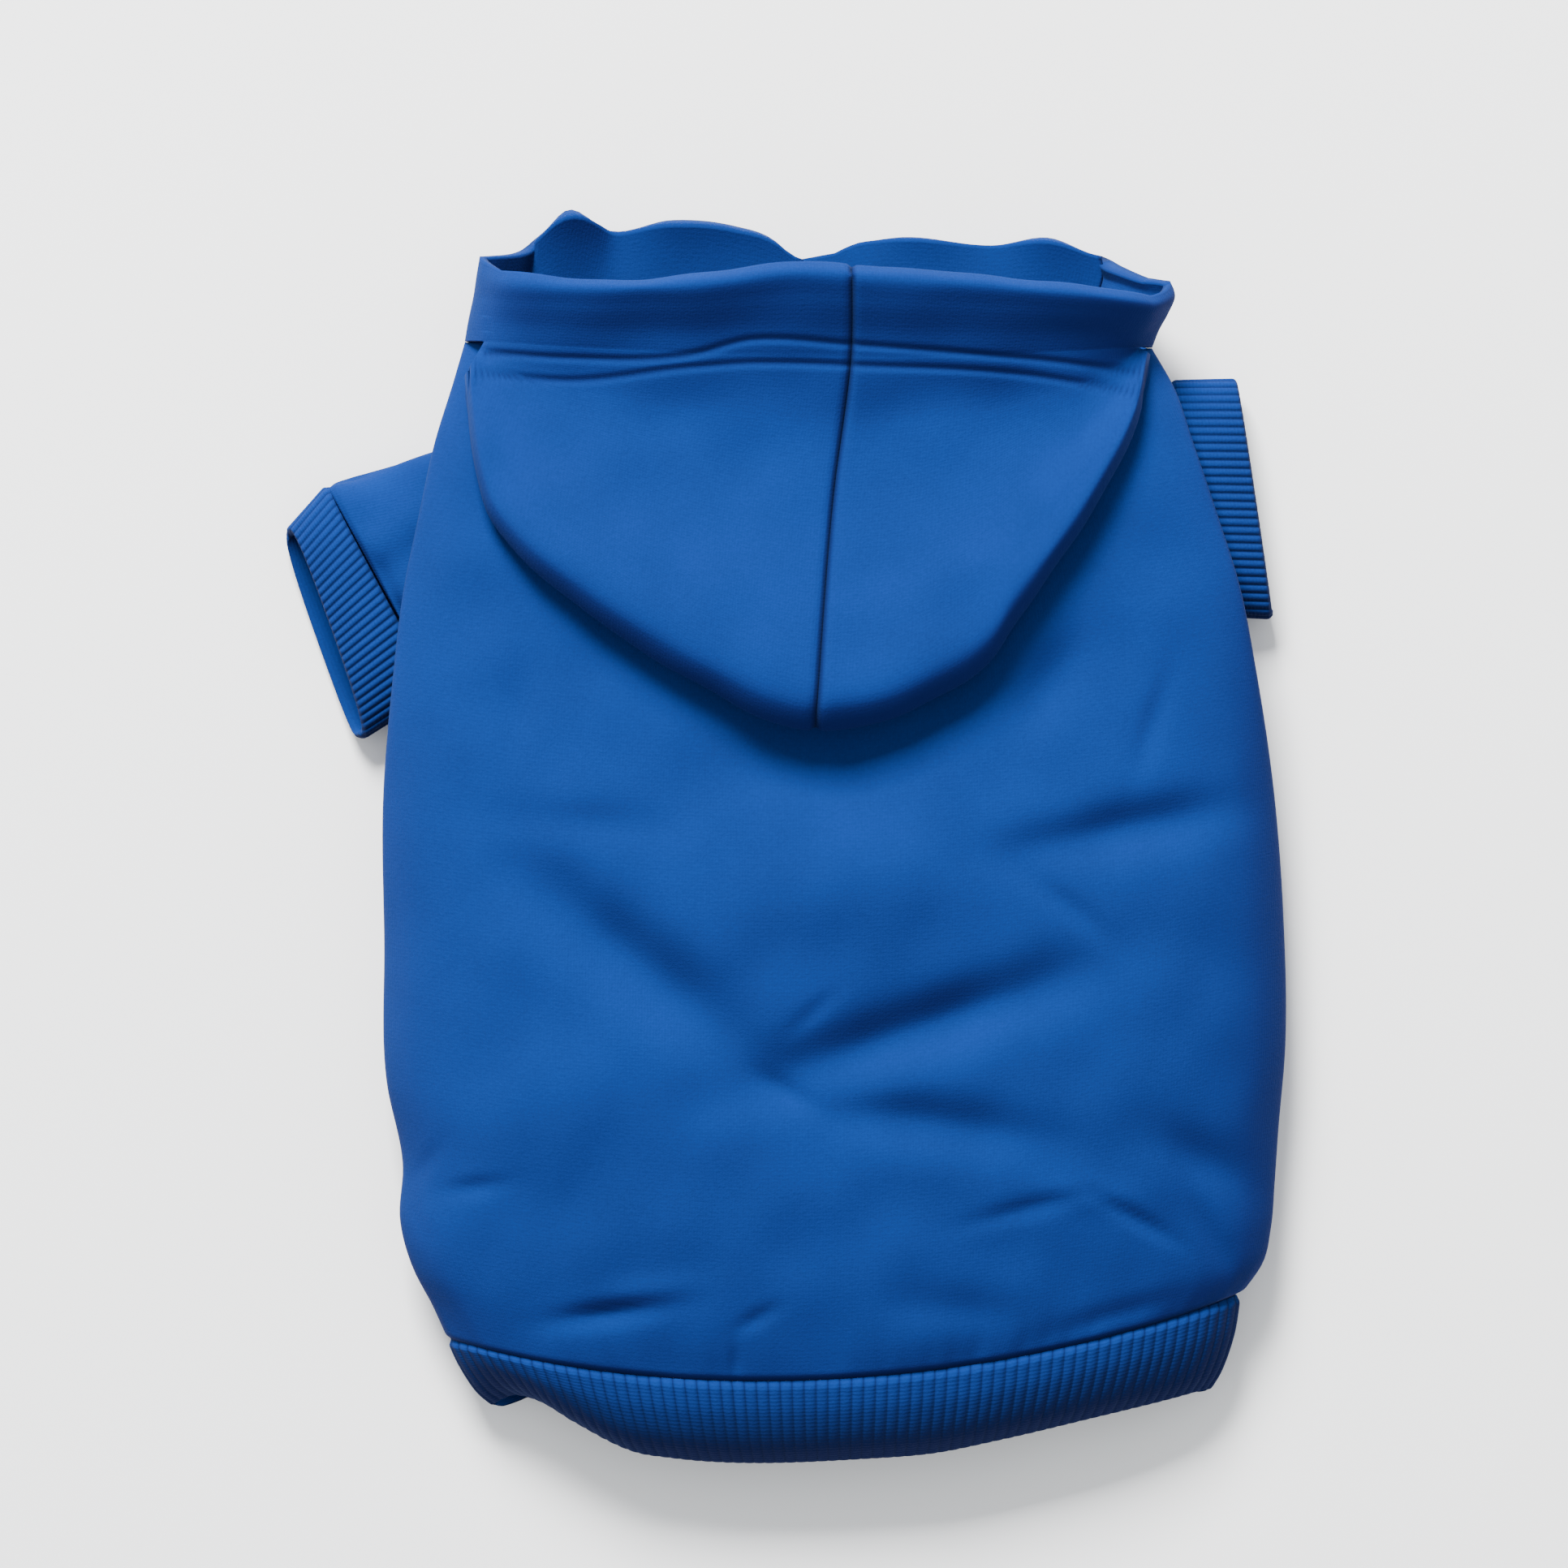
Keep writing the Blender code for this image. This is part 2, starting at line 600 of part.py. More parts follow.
def hood_outline(share):
    """The laid hood's fold, seen from above, at shares of the way from the left corner to the right."""
    line = np.column_stack([HOOD_OUTLINE["across"] * BODY_HALF_WIDTH, -HOOD_OUTLINE["back"] * HOOD_DEPTH])
    fine = through(line[None], np.linspace(0, len(line) - 1, 600), closed=False)[0]
    run = np.concatenate([[0], np.cumsum(np.linalg.norm(np.diff(fine, axis=0), axis=1))])
    tip = run[np.argmin(fine[:, 1])]
    along = np.where(share < CROWN_SHARE, share / CROWN_SHARE * tip, tip + (share - CROWN_SHARE) / CROWN_SHARE * (run[-1] - tip))
    x, y = [np.interp(along, run, fine[:, k]) for k in (0, 1)]
    return np.column_stack([x, y + BODY_LENGTH])


def pouch_points(places, stitched):
    """The hood behind its hem: forward over the top layer, round the fold, and back under to the nape."""
    reach = (places - CORNER) / (RING - 2 * CORNER)
    near = 0.03
    share = near + (1 - 2 * near) * reach
    tip = hood_outline(share)
    nape = body_points([1.0], places)[0]
    thick = CORNER_THICKNESS + (CROWN_THICKNESS - CORNER_THICKNESS) * np.sin(np.pi * share)
    inset = np.minimum(0.5 * thick, 0.3 * np.linalg.norm(tip - stitched[:, :2], axis=1))
    way = stitched[:, :2] - tip
    way /= np.linalg.norm(way, axis=1)[:, None]
    fold = tip + way * inset[:, None]
    floor = body_top(fold[:, 0], fold[:, 1]) + PANEL_CLEARANCE
    line = [stitched]
    for part, settle in ((0.22, 0.10), (0.48, 0.40), (0.76, 0.80)):
        plan = (1 - part) * stitched[:, :2] + part * fold
        up = (1 - settle) * stitched[:, 2] + settle * (floor + thick)
        line.append(np.column_stack([plan, up]))
    line.append(np.column_stack([fold, floor + thick]))
    line.append(np.column_stack([tip, floor + 0.5 * thick]))
    line.append(np.column_stack([fold, floor]))
    for part in (0.66, 0.33):
        plan = (1 - part) * nape[:, :2] + part * fold
        line.append(np.column_stack([plan, body_top(plan[:, 0], plan[:, 1]) + PANEL_CLEARANCE]))
    line.append(nape + [0, 0, NAPE_CLEARANCE])
    path = np.stack(line, axis=1)
    at = steps_through((0, 4, 6, len(line) - 1), POUCH_ROWS)
    return through(path, at, closed=False).transpose(1, 0, 2)


def add_hood(cloth):
    """The hood in two halves, which meet in the seam over the crown and at the throat."""
    places = hood_places()
    hem = hem_points(places)
    half = int(np.argmin(abs(places - TOP)))
    inner = [i for i, at in enumerate(places) if CORNER - 1e-6 <= at <= RING - CORNER + 1e-6]
    side = lambda column: "hood_left" if column < half else "hood_right"
    cloth.add_grid(side, hem)
    pouch = pouch_points(places[inner], hem[0][inner])
    rows = cloth.add_grid(lambda column: side(column + inner[0]), pouch)
    for name, column in (("hood_left", 0), ("hood_right", -1)):
        cloth.add_face(name, [row[column] for row in rows])


def hem_wall(place):
    """The hood's wall: two layers of fleece in the folded hem, and one behind its stitches."""
    hem_line = BODY_LENGTH + 0.10 * HEM_REACH
    side = abs(place.x) / BODY_HALF_WIDTH
    turned = np.clip((place.y - hem_line) / 0.002, 0, 1) * np.clip((0.75 - side) / 0.12, 0, 1)
    return FLEECE * (1 + (HEM_LAYERS - 1) * turned)


def centre_on_floor(pieces):
    """Moves the garment so that the origin is on the floor under the middle of its outline."""
    points = np.array([v.co for piece in pieces for v in piece.data.vertices])
    low, high = points.min(axis=0), points.max(axis=0)
    shift = (-(low[0] + high[0]) / 2, -(low[1] + high[1]) / 2, -low[2])
    for piece in pieces:
        for vertex in piece.data.vertices:
            vertex.co = [a + b for a, b in zip(vertex.co, shift)]


def main():
    for old in list(bpy.data.objects):
        bpy.data.objects.remove(old)
    fleece = cloth_material("brushed fleece", (0.012, 0.084, 0.33), 0.9)
    rib = cloth_material("rib knit", (0.010, 0.075, 0.30), 0.9)
    rows = body_rows()
    body = Cloth()
    holes = add_body(body, rows)
    add_waistband(body, rows)
    for side in ("left", "right"):
        add_sleeve(body, side, holes[side])
    body.sew()
    hood = Cloth()
    add_hood(hood)
    hood.sew()
    pieces = [body.cut(name, lambda place: FLEECE, fleece) for name in ("back_panel", "belly_panel")]
    pieces += [body.cut(f"sleeve_{side}", lambda place: FLEECE, fleece) for side in ("left", "right")]
    pieces += [body.cut(f"cuff_{side}", lambda place: RIB_KNIT, rib) for side in ("left", "right")]
    pieces.append(body.cut("waistband", lambda place: RIB_KNIT, rib))
    pieces += [hood.cut(f"hood_{side}", hem_wall, fleece) for side in ("left", "right")]
    centre_on_floor(pieces)


main()
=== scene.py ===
"""A royal blue dog hoodie, laid flat on its belly on a pale floor, with its hood folded over its back.

The pieces stand in the order in which the garment goes together: floor and camera, back panel, belly
panel, waistband, sleeves, cuffs, and the two halves of the hood with their stitching.
"""

import math

import bmesh
import bpy
import numpy as np
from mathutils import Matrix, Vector


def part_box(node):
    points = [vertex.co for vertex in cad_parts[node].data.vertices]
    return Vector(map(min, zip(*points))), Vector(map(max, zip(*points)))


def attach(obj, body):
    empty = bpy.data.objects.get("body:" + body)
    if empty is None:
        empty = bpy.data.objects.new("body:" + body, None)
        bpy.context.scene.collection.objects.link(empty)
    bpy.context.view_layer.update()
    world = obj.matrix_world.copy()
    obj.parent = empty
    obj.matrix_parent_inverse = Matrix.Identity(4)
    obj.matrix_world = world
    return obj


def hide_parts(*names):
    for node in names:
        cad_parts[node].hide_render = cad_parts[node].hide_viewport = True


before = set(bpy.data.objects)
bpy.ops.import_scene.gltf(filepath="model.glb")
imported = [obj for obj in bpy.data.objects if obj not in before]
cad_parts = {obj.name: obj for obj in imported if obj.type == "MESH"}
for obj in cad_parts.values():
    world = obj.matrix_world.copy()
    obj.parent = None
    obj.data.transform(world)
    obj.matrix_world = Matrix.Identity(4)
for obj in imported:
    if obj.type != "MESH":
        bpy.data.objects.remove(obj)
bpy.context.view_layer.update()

# Camera. It looks straight down from 3 m above the floor, as for a flat-lay photograph, and takes in a
# square about half a metre across.
CAMERA_HEIGHT = 3.0
CAMERA_Y = 0.0177
FRAME_WIDTH = 0.5023

camera_data = bpy.data.cameras.new("camera")
camera_data.sensor_width = 36.0
camera_data.lens = 36.0 * (CAMERA_HEIGHT - 0.02) / FRAME_WIDTH
camera = bpy.data.objects.new("camera", camera_data)
camera.location = (0, CAMERA_Y, CAMERA_HEIGHT)
bpy.context.scene.collection.objects.link(camera)
bpy.context.scene.camera = camera

# Light. A large soft box stands well beyond the hood, a little to its left, and the white room fills the
# shadows.
WINDOW_PLACE = (-0.75, 2.75, 2.15)
WINDOW_SIZE = 1.3
WINDOW_WATTS = 560
ROOM_COLOUR = (0.94, 0.97, 1.0, 1)
ROOM_STRENGTH = 1.1


def soft_box(name, place, aim, size, power):
    light = bpy.data.lights.new(name, "AREA")
    light.shape = "SQUARE"
    light.size = size
    light.energy = power
    lamp = bpy.data.objects.new(name, light)
    lamp.location = place
    lamp.rotation_euler = (Vector(aim) - Vector(place)).to_track_quat("-Z", "Y").to_euler()
    bpy.context.scene.collection.objects.link(lamp)


soft_box("window light", WINDOW_PLACE, (0, 0, 0), WINDOW_SIZE, WINDOW_WATTS)
world = bpy.data.worlds.new("white room")
world.use_nodes = True
world.node_tree.nodes["Background"].inputs["Color"].default_value = ROOM_COLOUR
world.node_tree.nodes["Background"].inputs["Strength"].default_value = ROOM_STRENGTH
bpy.context.scene.world = world

# Floor. A seamless sheet of matt white paper, wide enough that its edge is never in view.


def linear(code):
    """A colour given as sRGB hex, turned linear."""
    values = [int(code[i : i + 2], 16) / 255 for i in (0, 2, 4)]
    return [v / 12.92 if v <= 0.04045 else ((v + 0.055) / 1.055) ** 2.4 for v in values] + [1]


class Nodes:
    """A material's node tree, with one short way to add a node, set it and wire it."""

    def __init__(self, name):
        self.material = bpy.data.materials.new(name)
        self.material.use_nodes = True
        self.tree = self.material.node_tree
        self.shader = self.tree.nodes["Principled BSDF"]

    def add(self, kind, inputs=(), **settings):
        node = self.tree.nodes.new("ShaderNode" + kind)
        for key, value in settings.items():
            setattr(node, key, value)
        for key, value in dict(inputs).items():
            if isinstance(value, bpy.types.NodeSocket):
                self.tree.links.new(value, node.inputs[key])
            else:
                node.inputs[key].default_value = value
        return node

    def maths(self, operation, a, b=0.0):
        return self.add("Math", {0: a, 1: b}, operation=operation).outputs[0]

    def mix(self, factor, a, b):
        node = self.add("Mix", data_type="RGBA")
        for key, value in ((0, factor), (6, a), (7, b)):
            if isinstance(value, bpy.types.NodeSocket):
                self.tree.links.new(value, node.inputs[key])
            else:
                node.inputs[key].default_value = value
        return node.outputs[2]

    def set(self, **inputs):
        for key, value in inputs.items():
            socket = self.shader.inputs[key.replace("_", " ")]
            if isinstance(value, bpy.types.NodeSocket):
                self.tree.links.new(value, socket)
            else:
                socket.default_value = value


paper = Nodes("matt white paper")
speck = paper.add("TexNoise", {"Vector": paper.add("TexCoord").outputs["Object"], "Scale": 900.0})
paper.set(Base_Color=linear("f4f4f4"), Roughness=0.9)
grain = paper.add("Bump", {"Height": speck.outputs["Fac"], "Strength": 0.02, "Distance": 0.0002})
paper.set(Normal=grain.outputs[0])
floor_mesh = bpy.data.meshes.new("floor")
floor_mesh.from_pydata([(-4, -4, 0), (4, -4, 0), (4, 4, 0), (-4, 4, 0)], [], [(0, 1, 2, 3)])
floor_mesh.materials.append(paper.material)
floor = bpy.data.objects.new("floor", floor_mesh)
bpy.context.scene.collection.objects.link(floor)

# Back panel. One piece of brushed fleece from the waist to the neck, which rolls under at both sides to
# the side seams. It is worked out from rings across the body, then creased where the garment has slumped.
FLEECE = 0.0024
BODY_LENGTH = 0.320
BODY_HALF_WIDTH = 0.145
BODY_HEIGHT = 0.046
WAIST_SLANT = 0.0145
NECK_SLANT = -0.0020
WAIST_BOW = -0.0188
NECK_BOW = -0.0080
BELLY_BOW = -0.0060
SEAM_DEPTH = 0.0011
SLUMP_HEIGHT = 0.00045
SLUMP_SIZE = 0.045

# The points of a ring across the body, counted from the middle of its floor side.
FLOOR, FOOT, SEAM, UNDER, RIM, BROW, SHOULDER, MIDDLE, TOP = 0, 2, 3, 4, 5, 6, 7, 8, 9
RING = 18

# The armholes, as stretches of the body's length, and how far they cut into the back.
LEFT_ARMHOLE = (0.610, 0.906)
RIGHT_ARMHOLE = (0.700, 0.966)
ARMHOLE_BACK_CUT = 0.75


def table(columns, rows):
    """A short table as a dictionary from a column's name to its values."""
    return dict(zip(columns.split(), np.array(rows, float).T))


BODY_SECTIONS = table(
    "at left right height rim_left rim_right tuck_left tuck_right",
    [
        (0.000, 0.855, 0.897, 0.78, 0.37, 0.37, 0.090, 0.090),
        (0.035, 0.889, 0.948, 0.84, 0.37, 0.37, 0.090, 0.090),
        (0.070, 0.930, 0.965, 0.88, 0.37, 0.37, 0.088, 0.088),
        (0.120, 0.961, 0.974, 0.92, 0.36, 0.36, 0.086, 0.086),
        (0.175, 0.955, 0.982, 0.95, 0.36, 0.36, 0.085, 0.085),
        (0.260, 0.991, 0.997, 0.99, 0.36, 0.36, 0.085, 0.085),
        (0.400, 0.996, 0.993, 1.00, 0.37, 0.37, 0.085, 0.085),
        (0.545, 0.997, 0.968, 0.96, 0.46, 0.43, 0.105, 0.110),
        (0.660, 0.975, 0.930, 0.89, 0.56, 0.54, 0.150, 0.210),
        (0.750, 0.951, 0.892, 0.85, 0.58, 0.60, 0.155, 0.320),
        (0.830, 0.915, 0.839, 0.83, 0.57, 0.61, 0.150, 0.340),
        (0.900, 0.882, 0.790, 0.81, 0.52, 0.60, 0.120, 0.310),
        (0.960, 0.842, 0.747, 0.78, 0.46, 0.53, 0.095, 0.200),
        (1.000, 0.817, 0.701, 0.74, 0.42, 0.44, 0.085, 0.110),
    ],
)

# Folds of the back. Across and along are shares of the half width and the length, run and width are half
# sizes as shares of the length, turn is in degrees, and depth is a share of the height, positive for a
# valley.
BACK_FOLDS = table(
    "across along run width turn depth",
    [
        (-0.42, 0.37, 0.155, 0.038, -41.0, 0.140),
        (0.17, 0.31, 0.155, 0.030, 19.0, 0.130),
        (0.19, 0.22, 0.120, 0.027, -8.0, 0.080),
        (0.62, 0.51, 0.120, 0.025, 11.0, 0.080),
        (0.05, 0.46, 0.150, 0.065, 4.0, -0.080),
        (0.82, 0.18, 0.065, 0.025, -28.0, 0.050),
        (0.48, 0.66, 0.060, 0.028, 60.0, 0.055),
        (-0.62, 0.24, 0.130, 0.060, 35.0, -0.045),
        (-0.55, 0.52, 0.080, 0.020, -4.0, 0.030),
        (0.50, 0.44, 0.050, 0.012, -38.0, 0.030),
        (-0.10, 0.25, 0.030, 0.010, -30.0, 0.030),
        (-0.05, 0.33, 0.030, 0.008, 40.0, 0.014),
        (0.42, 0.135, 0.055, 0.008, 14.0, 0.024),
        (0.66, 0.125, 0.045, 0.007, -30.0, 0.028),
        (0.55, 0.150, 0.050, 0.016, -8.0, -0.020),
        (0.84, 0.10, 0.045, 0.012, -62.0, 0.030),
        (-0.80, 0.155, 0.030, 0.008, 8.0, 0.030),
        (-0.92, 0.170, 0.030, 0.008, 48.0, 0.030),
        (-0.93, 0.130, 0.030, 0.008, -60.0, 0.022),
        (-0.50, 0.030, 0.050, 0.010, 8.0, 0.048),
        (-0.42, 0.052, 0.050, 0.012, 8.0, -0.016),
        (-0.17, 0.026, 0.022, 0.006, 28.0, 0.022),
        (-0.22, -0.020, 0.004, 0.020, 0.0, 0.016),
        (0.28, 0.035, 0.060, 0.020, -6.0, 0.022),
        (0.62, 0.030, 0.060, 0.010, 16.0, 0.018),
        (-0.70, 0.62, 0.060, 0.020, 80.0, 0.020),
        (-0.05, 0.575, 0.120, 0.045, 2.0, 0.070),
        (0.70, 0.62, 0.050, 0.012, 72.0, 0.022),
    ],
)


def between(at, known, values):
    """Values read smoothly from a table: the curve passes through every row."""
    at = np.asarray(at, float)
    slope = np.gradient(values, known)
    i = np.clip(np.searchsorted(known, at) - 1, 0, len(known) - 2)
    gap = known[i + 1] - known[i]
    q = np.clip((at - known[i]) / gap, 0, 1)
    return (
        (2 * q**3 - 3 * q**2 + 1) * values[i]
        + (q**3 - 2 * q**2 + q) * gap * slope[i]
        + (3 * q**2 - 2 * q**3) * values[i + 1]
        + (q**3 - q**2) * gap * slope[i + 1]
    )


def rows_of(source, at):
    """Every column of a table at the given places."""
    return {name: between(at, source["at"], column) for name, column in source.items()}


def through(points, at, closed):
    """A smooth curve through each row of points, read at point numbers, which may be fractions."""
    count = points.shape[1]
    if closed:
        points = np.concatenate([points[:, -1:], points, points[:, :2]], axis=1)
    else:
        first = 2 * points[:, :1] - points[:, 1:2]
        last = 2 * points[:, -1:] - points[:, -2:-1]
        points = np.concatenate([first, points, last], axis=1)
    step = np.sqrt(np.linalg.norm(np.diff(points, axis=1), axis=2)) + 1e-9
    before, after = step[:, :-1, None], step[:, 1:, None]
    rate = np.diff(points, axis=1) / step[:, :, None]
    slope = (rate[:, :-1] * after + rate[:, 1:] * before) / (before + after)
    at = np.broadcast_to(np.asarray(at, float), (len(points), np.shape(at)[-1]))
    at = at % count if closed else np.clip(at, 0, count - 1 - 1e-9)
    i = np.floor(at).astype(int)
    q = (at - i)[:, :, None]
    row = np.arange(len(points))[:, None]
    start, end = points[row, i + 1], points[row, i + 2]
    out, into = slope[row, i], slope[row, np.minimum(i + 1, slope.shape[1] - 1)]
    span = step[row, i + 1][:, :, None]
    return (
        (2 * q**3 - 3 * q**2 + 1) * start
        + (q**3 - 2 * q**2 + q) * span * out
        + (3 * q**2 - 2 * q**3) * end
        + (q**3 - q**2) * span * into
    )


def half_ring(width, height, rim, tuck):
    """One half of a ring, as (across, up) from the middle of the floor side to the middle of the top."""
    rise = height - rim
    foot = width - 1.12 * tuck - 0.12 * rim
    zero = 0 * width
    across = [zero, 0.55 * foot, foot, width - 0.92 * tuck, width - 0.42 * tuck, width]
    across += [0.935 * width, 0.765 * width, 0.42 * width, zero]
    up = [zero, zero, zero, 0.42 * rim, 0.79 * rim, rim]
    up += [rim + 0.44 * rise, rim + 0.79 * rise, rim + 0.97 * rise, height]
    return np.stack([np.array(across), np.array(up)], axis=-1)


def ring_points(rings, at):
    """Points on the outside of the cloth for a stack of rings. at may differ from ring to ring."""
    left = half_ring(rings["left"], rings["height"], rings["rim_left"], rings["tuck_left"])
    right = half_ring(rings["right"], rings["height"], rings["rim_right"], rings["tuck_right"])
    left[..., 0] *= -1
    control = np.concatenate([left, right[1:-1][::-1]]).transpose(1, 0, 2)
    flat = through(control, at, closed=True)
    x, z = flat[..., 0], np.maximum(flat[..., 1], 0)
    wide = np.where(x < 0, rings["left"][:, None], rings["right"][:, None])
    share = np.clip(x / wide, -1, 1)
    place = np.broadcast_to(np.asarray(at, float), x.shape) % RING
    over = (place > RIM) & (place < RING - RIM)
    bow = np.where(over, rings["bow_top"][:, None], rings["bow_floor"][:, None])
    side = (1 + share) / 2
    y = (1 - side) * rings["y_left"][:, None] + side * rings["y_right"][:, None] + bow * (1 - share**2)
    return np.stack([x, y, z], axis=-1)


def body_rings(at):
    """The body's rings at the given shares of its length."""
    at = np.atleast_1d(np.asarray(at, float))
    rows = rows_of(BODY_SECTIONS, at)
    rings = {name: rows[name] * BODY_HALF_WIDTH for name in ("left", "right", "tuck_left", "tuck_right")}
    rings |= {name: rows[name] * BODY_HEIGHT for name in ("height", "rim_left", "rim_right")}
    rings["y_left"] = BODY_LENGTH * at
    rings["y_right"] = WAIST_SLANT + (BODY_LENGTH + NECK_SLANT - WAIST_SLANT) * at
    rings["bow_top"] = WAIST_BOW + (NECK_BOW - WAIST_BOW) * at
    rings["bow_floor"] = BELLY_BOW * (1 - at)
    return rings


def fold_depth(x, y):
    """How far the back sinks into its folds at a place seen from above."""
    depth = 0 * x
    for across, along, run, width, turn, deep in zip(*BACK_FOLDS.values()):
        dx, dy = x - across * BODY_HALF_WIDTH, y - along * BODY_LENGTH
        turn = math.radians(turn)
        length = (dx * math.cos(turn) + dy * math.sin(turn)) / (run * BODY_LENGTH)
        breadth = (dy * math.cos(turn) - dx * math.sin(turn)) / (width * BODY_LENGTH)
        depth = depth + deep * BODY_HEIGHT * np.exp(-(length**2) - breadth**2)
    return depth


def ripple(x, y, size, seed):
    """Soft seeded waves between -1 and 1, about as long as size, for the unevenness of lying cloth."""
    dice = np.random.default_rng(seed)
    total = 0 * x
    for _ in range(9):
        turn, phase, scale = dice.uniform(0, 2 * np.pi), dice.uniform(0, 2 * np.pi), dice.uniform(0.7, 1.6)
        along = (x * np.cos(turn) + y * np.sin(turn)) * scale * 2 * np.pi / size
        total = total + np.sin(along + phase) * np.cos(0.37 * along + 2.1 * phase)
    return total / 3.2


def body_points(at, places):
    """Points on the outside of the body, with the folds of the back pressed in."""
    points = ring_points(body_rings(at), places)
    place = np.broadcast_to(np.asarray(places, float), points.shape[:2]) % RING
    over = np.clip((np.minimum(place, RING - place) - RIM) / (SHOULDER - RIM), 0, 1)
    over = over * over * (3 - 2 * over)
    x, y = points[..., 0], points[..., 1]
    points[..., 2] -= (fold_depth(x, y) + SLUMP_HEIGHT * ripple(x, y, SLUMP_SIZE, 5)) * over
    return points


def lens(at, hole):
    """How far an armhole is open at a share of the body's length: 0 outside it and 1 in its middle."""
    q = np.clip((at - hole[0]) / (hole[1] - hole[0]), 0, 1)
    return np.sin(np.pi * q) ** 0.8


def graded(total, coarse, fine, reach, both=True):
    """Shares from 0 to 1 of a length in coarse steps, but in fine steps near its start, and its end too."""
    near = np.arange(0, reach, fine) / total
    middle = np.linspace(reach / total, 1 - reach / total if both else 1, max(2, round(total / coarse)))
    return np.concatenate([near, middle, 1 - near[::-1]] if both else [near, middle])


def even_places(rings, start, end, count):
    """Ring places from start to end that stand evenly along the cloth of the middle ring."""
    fine = np.linspace(start, end, 1500)
    line = ring_points(rings, fine)[0]
    run = np.concatenate([[0], np.cumsum(np.linalg.norm(np.diff(line, axis=0), axis=1))])
    return np.interp(np.linspace(0, run[-1], count), run, fine)


# How far the garment's own measures stand from the frame, in which it is centred over the origin.
body_side = ring_points(body_rings(np.linspace(0, 1, 321)), [RIM, RING - RIM])
SHIFT = np.array(
    [
        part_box("back_panel")[0].x - body_side[:, 0, 0].min(),
        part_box("belly_panel")[1].y - BODY_LENGTH,
        0.0,
    ]
)


def cloth_mesh(name, patches, wall, raised=None, painted_shade=None):
    """A solid piece of cloth from nets of points on its outer side, given as (points, cloth place, closed).

    The nets are sewn where they share points. wall is the thickness, or a function of the points. raised
    gives how far the outer side stands out at each point, from its position and its place on the cloth.
    """
    points, places, faces, start = [], [], [], 0
    for grid, where, closed in patches:
        rows, columns = grid.shape[:2]
        number = start + np.arange(rows * columns).reshape(rows, columns)
        ahead = np.roll(number, -1, axis=1) if closed else number[:, 1:]
        here = number if closed else number[:, :-1]
        quads = np.stack([here[:-1], ahead[:-1], ahead[1:], here[1:]], axis=-1)
        points.append(grid.reshape(-1, 3))
        places.append(where.reshape(-1, 2))
        faces.append(quads.reshape(-1, 4))
        start += rows * columns
    points, places, faces = np.concatenate(points), np.concatenate(places), np.concatenate(faces)
    _, first, index = np.unique(np.round(points, 6), axis=0, return_index=True, return_inverse=True)
    points, places, faces = points[first], places[first], index.reshape(-1)[faces]
    sheet = bmesh.new()
    verts = [sheet.verts.new(p) for p in points]
    for quad in faces:
        corners = list(dict.fromkeys(quad.tolist()))
        if len(corners) > 2:
            try:
                sheet.faces.new([verts[i] for i in corners])
            except ValueError:
                pass
    sheet.verts.index_update()
    bmesh.ops.recalc_face_normals(sheet, faces=sheet.faces)
    highest = max(sheet.faces, key=lambda f: f.calc_center_median().z)
    if highest.normal.z < 0:
        bmesh.ops.reverse_faces(sheet, faces=sheet.faces)
    sheet.normal_update()
    normals = np.array([v.normal for v in sheet.verts])
    outer = [[v.index for v in f.verts] for f in sheet.faces]
    border = []
    for edge in sheet.edges:
        if len(edge.link_loops) == 1:
            loop = edge.link_loops[0]
            border.append((loop.vert.index, loop.link_loop_next.vert.index))
    sheet.free()
    thick = wall(points) if callable(wall) else np.full(len(points), wall)
    inside = points - normals * thick[:, None]
    outside = points + (normals * raised(points, places)[:, None] if raised else 0)
    count = len(points)
    everything = np.concatenate([outside, inside])
    everything[:, 2] = np.maximum(everything[:, 2], 0.0001)
    solid = outer + [[i + count for i in reversed(f)] for f in outer]
    solid += [[b, a, a + count, b + count] for a, b in border]
    mesh = bpy.data.meshes.new(name)
    mesh.from_pydata(everything + SHIFT, [], solid)
    mesh.validate()
    layer = mesh.uv_layers.new(name="cloth")
    loop_vertex = np.empty(len(mesh.loops), np.int32)
    mesh.loops.foreach_get("vertex_index", loop_vertex)
    layer.data.foreach_set("uv", places[loop_vertex % count].ravel())
    # Painted shade on each outer point, where seams and stitching lie in shade; the inner side gets none.
    deep = np.zeros(count) if painted_shade is None else painted_shade(points, places)
    shade = mesh.attributes.new("painted_shade", "FLOAT", "POINT")
    shade.data.foreach_set("value", np.concatenate([deep, np.zeros(count)]).astype(np.float32))
    mesh.shade_smooth()
    piece = bpy.data.objects.new(name, mesh)
    bpy.context.scene.collection.objects.link(piece)
    return piece


# The way from which the painted light falls, towards the hood and a little to the left, and the fleece's
# gauge.
PAINTED_LIGHT_WAY = (-0.25, 0.76, 0.60)
WALE_PITCH = 0.00095
COURSE_PITCH = 0.0012


def painted_facing_shade(cloth, deep, lit):
    """Painted shade: the colour goes darker where the cloth faces away from the window light."""
    normal = cloth.add("NewGeometry").outputs["Normal"]
    facing = cloth.add("VectorMath", {0: normal, 1: PAINTED_LIGHT_WAY}, operation="DOT_PRODUCT").outputs["Value"]
    limits = {"Value": facing, "From Min": deep, "From Max": lit}
    return cloth.add("MapRange", limits, interpolation_type="SMOOTHSTEP").outputs[0]


def noise(cloth, where, scale, detail, roughness=0.5):
    """An uneven pattern with about this many patches in a metre."""
    inputs = {"Vector": where, "Scale": scale, "Detail": detail, "Roughness": roughness}
    return cloth.add("TexNoise", inputs).outputs["Fac"]


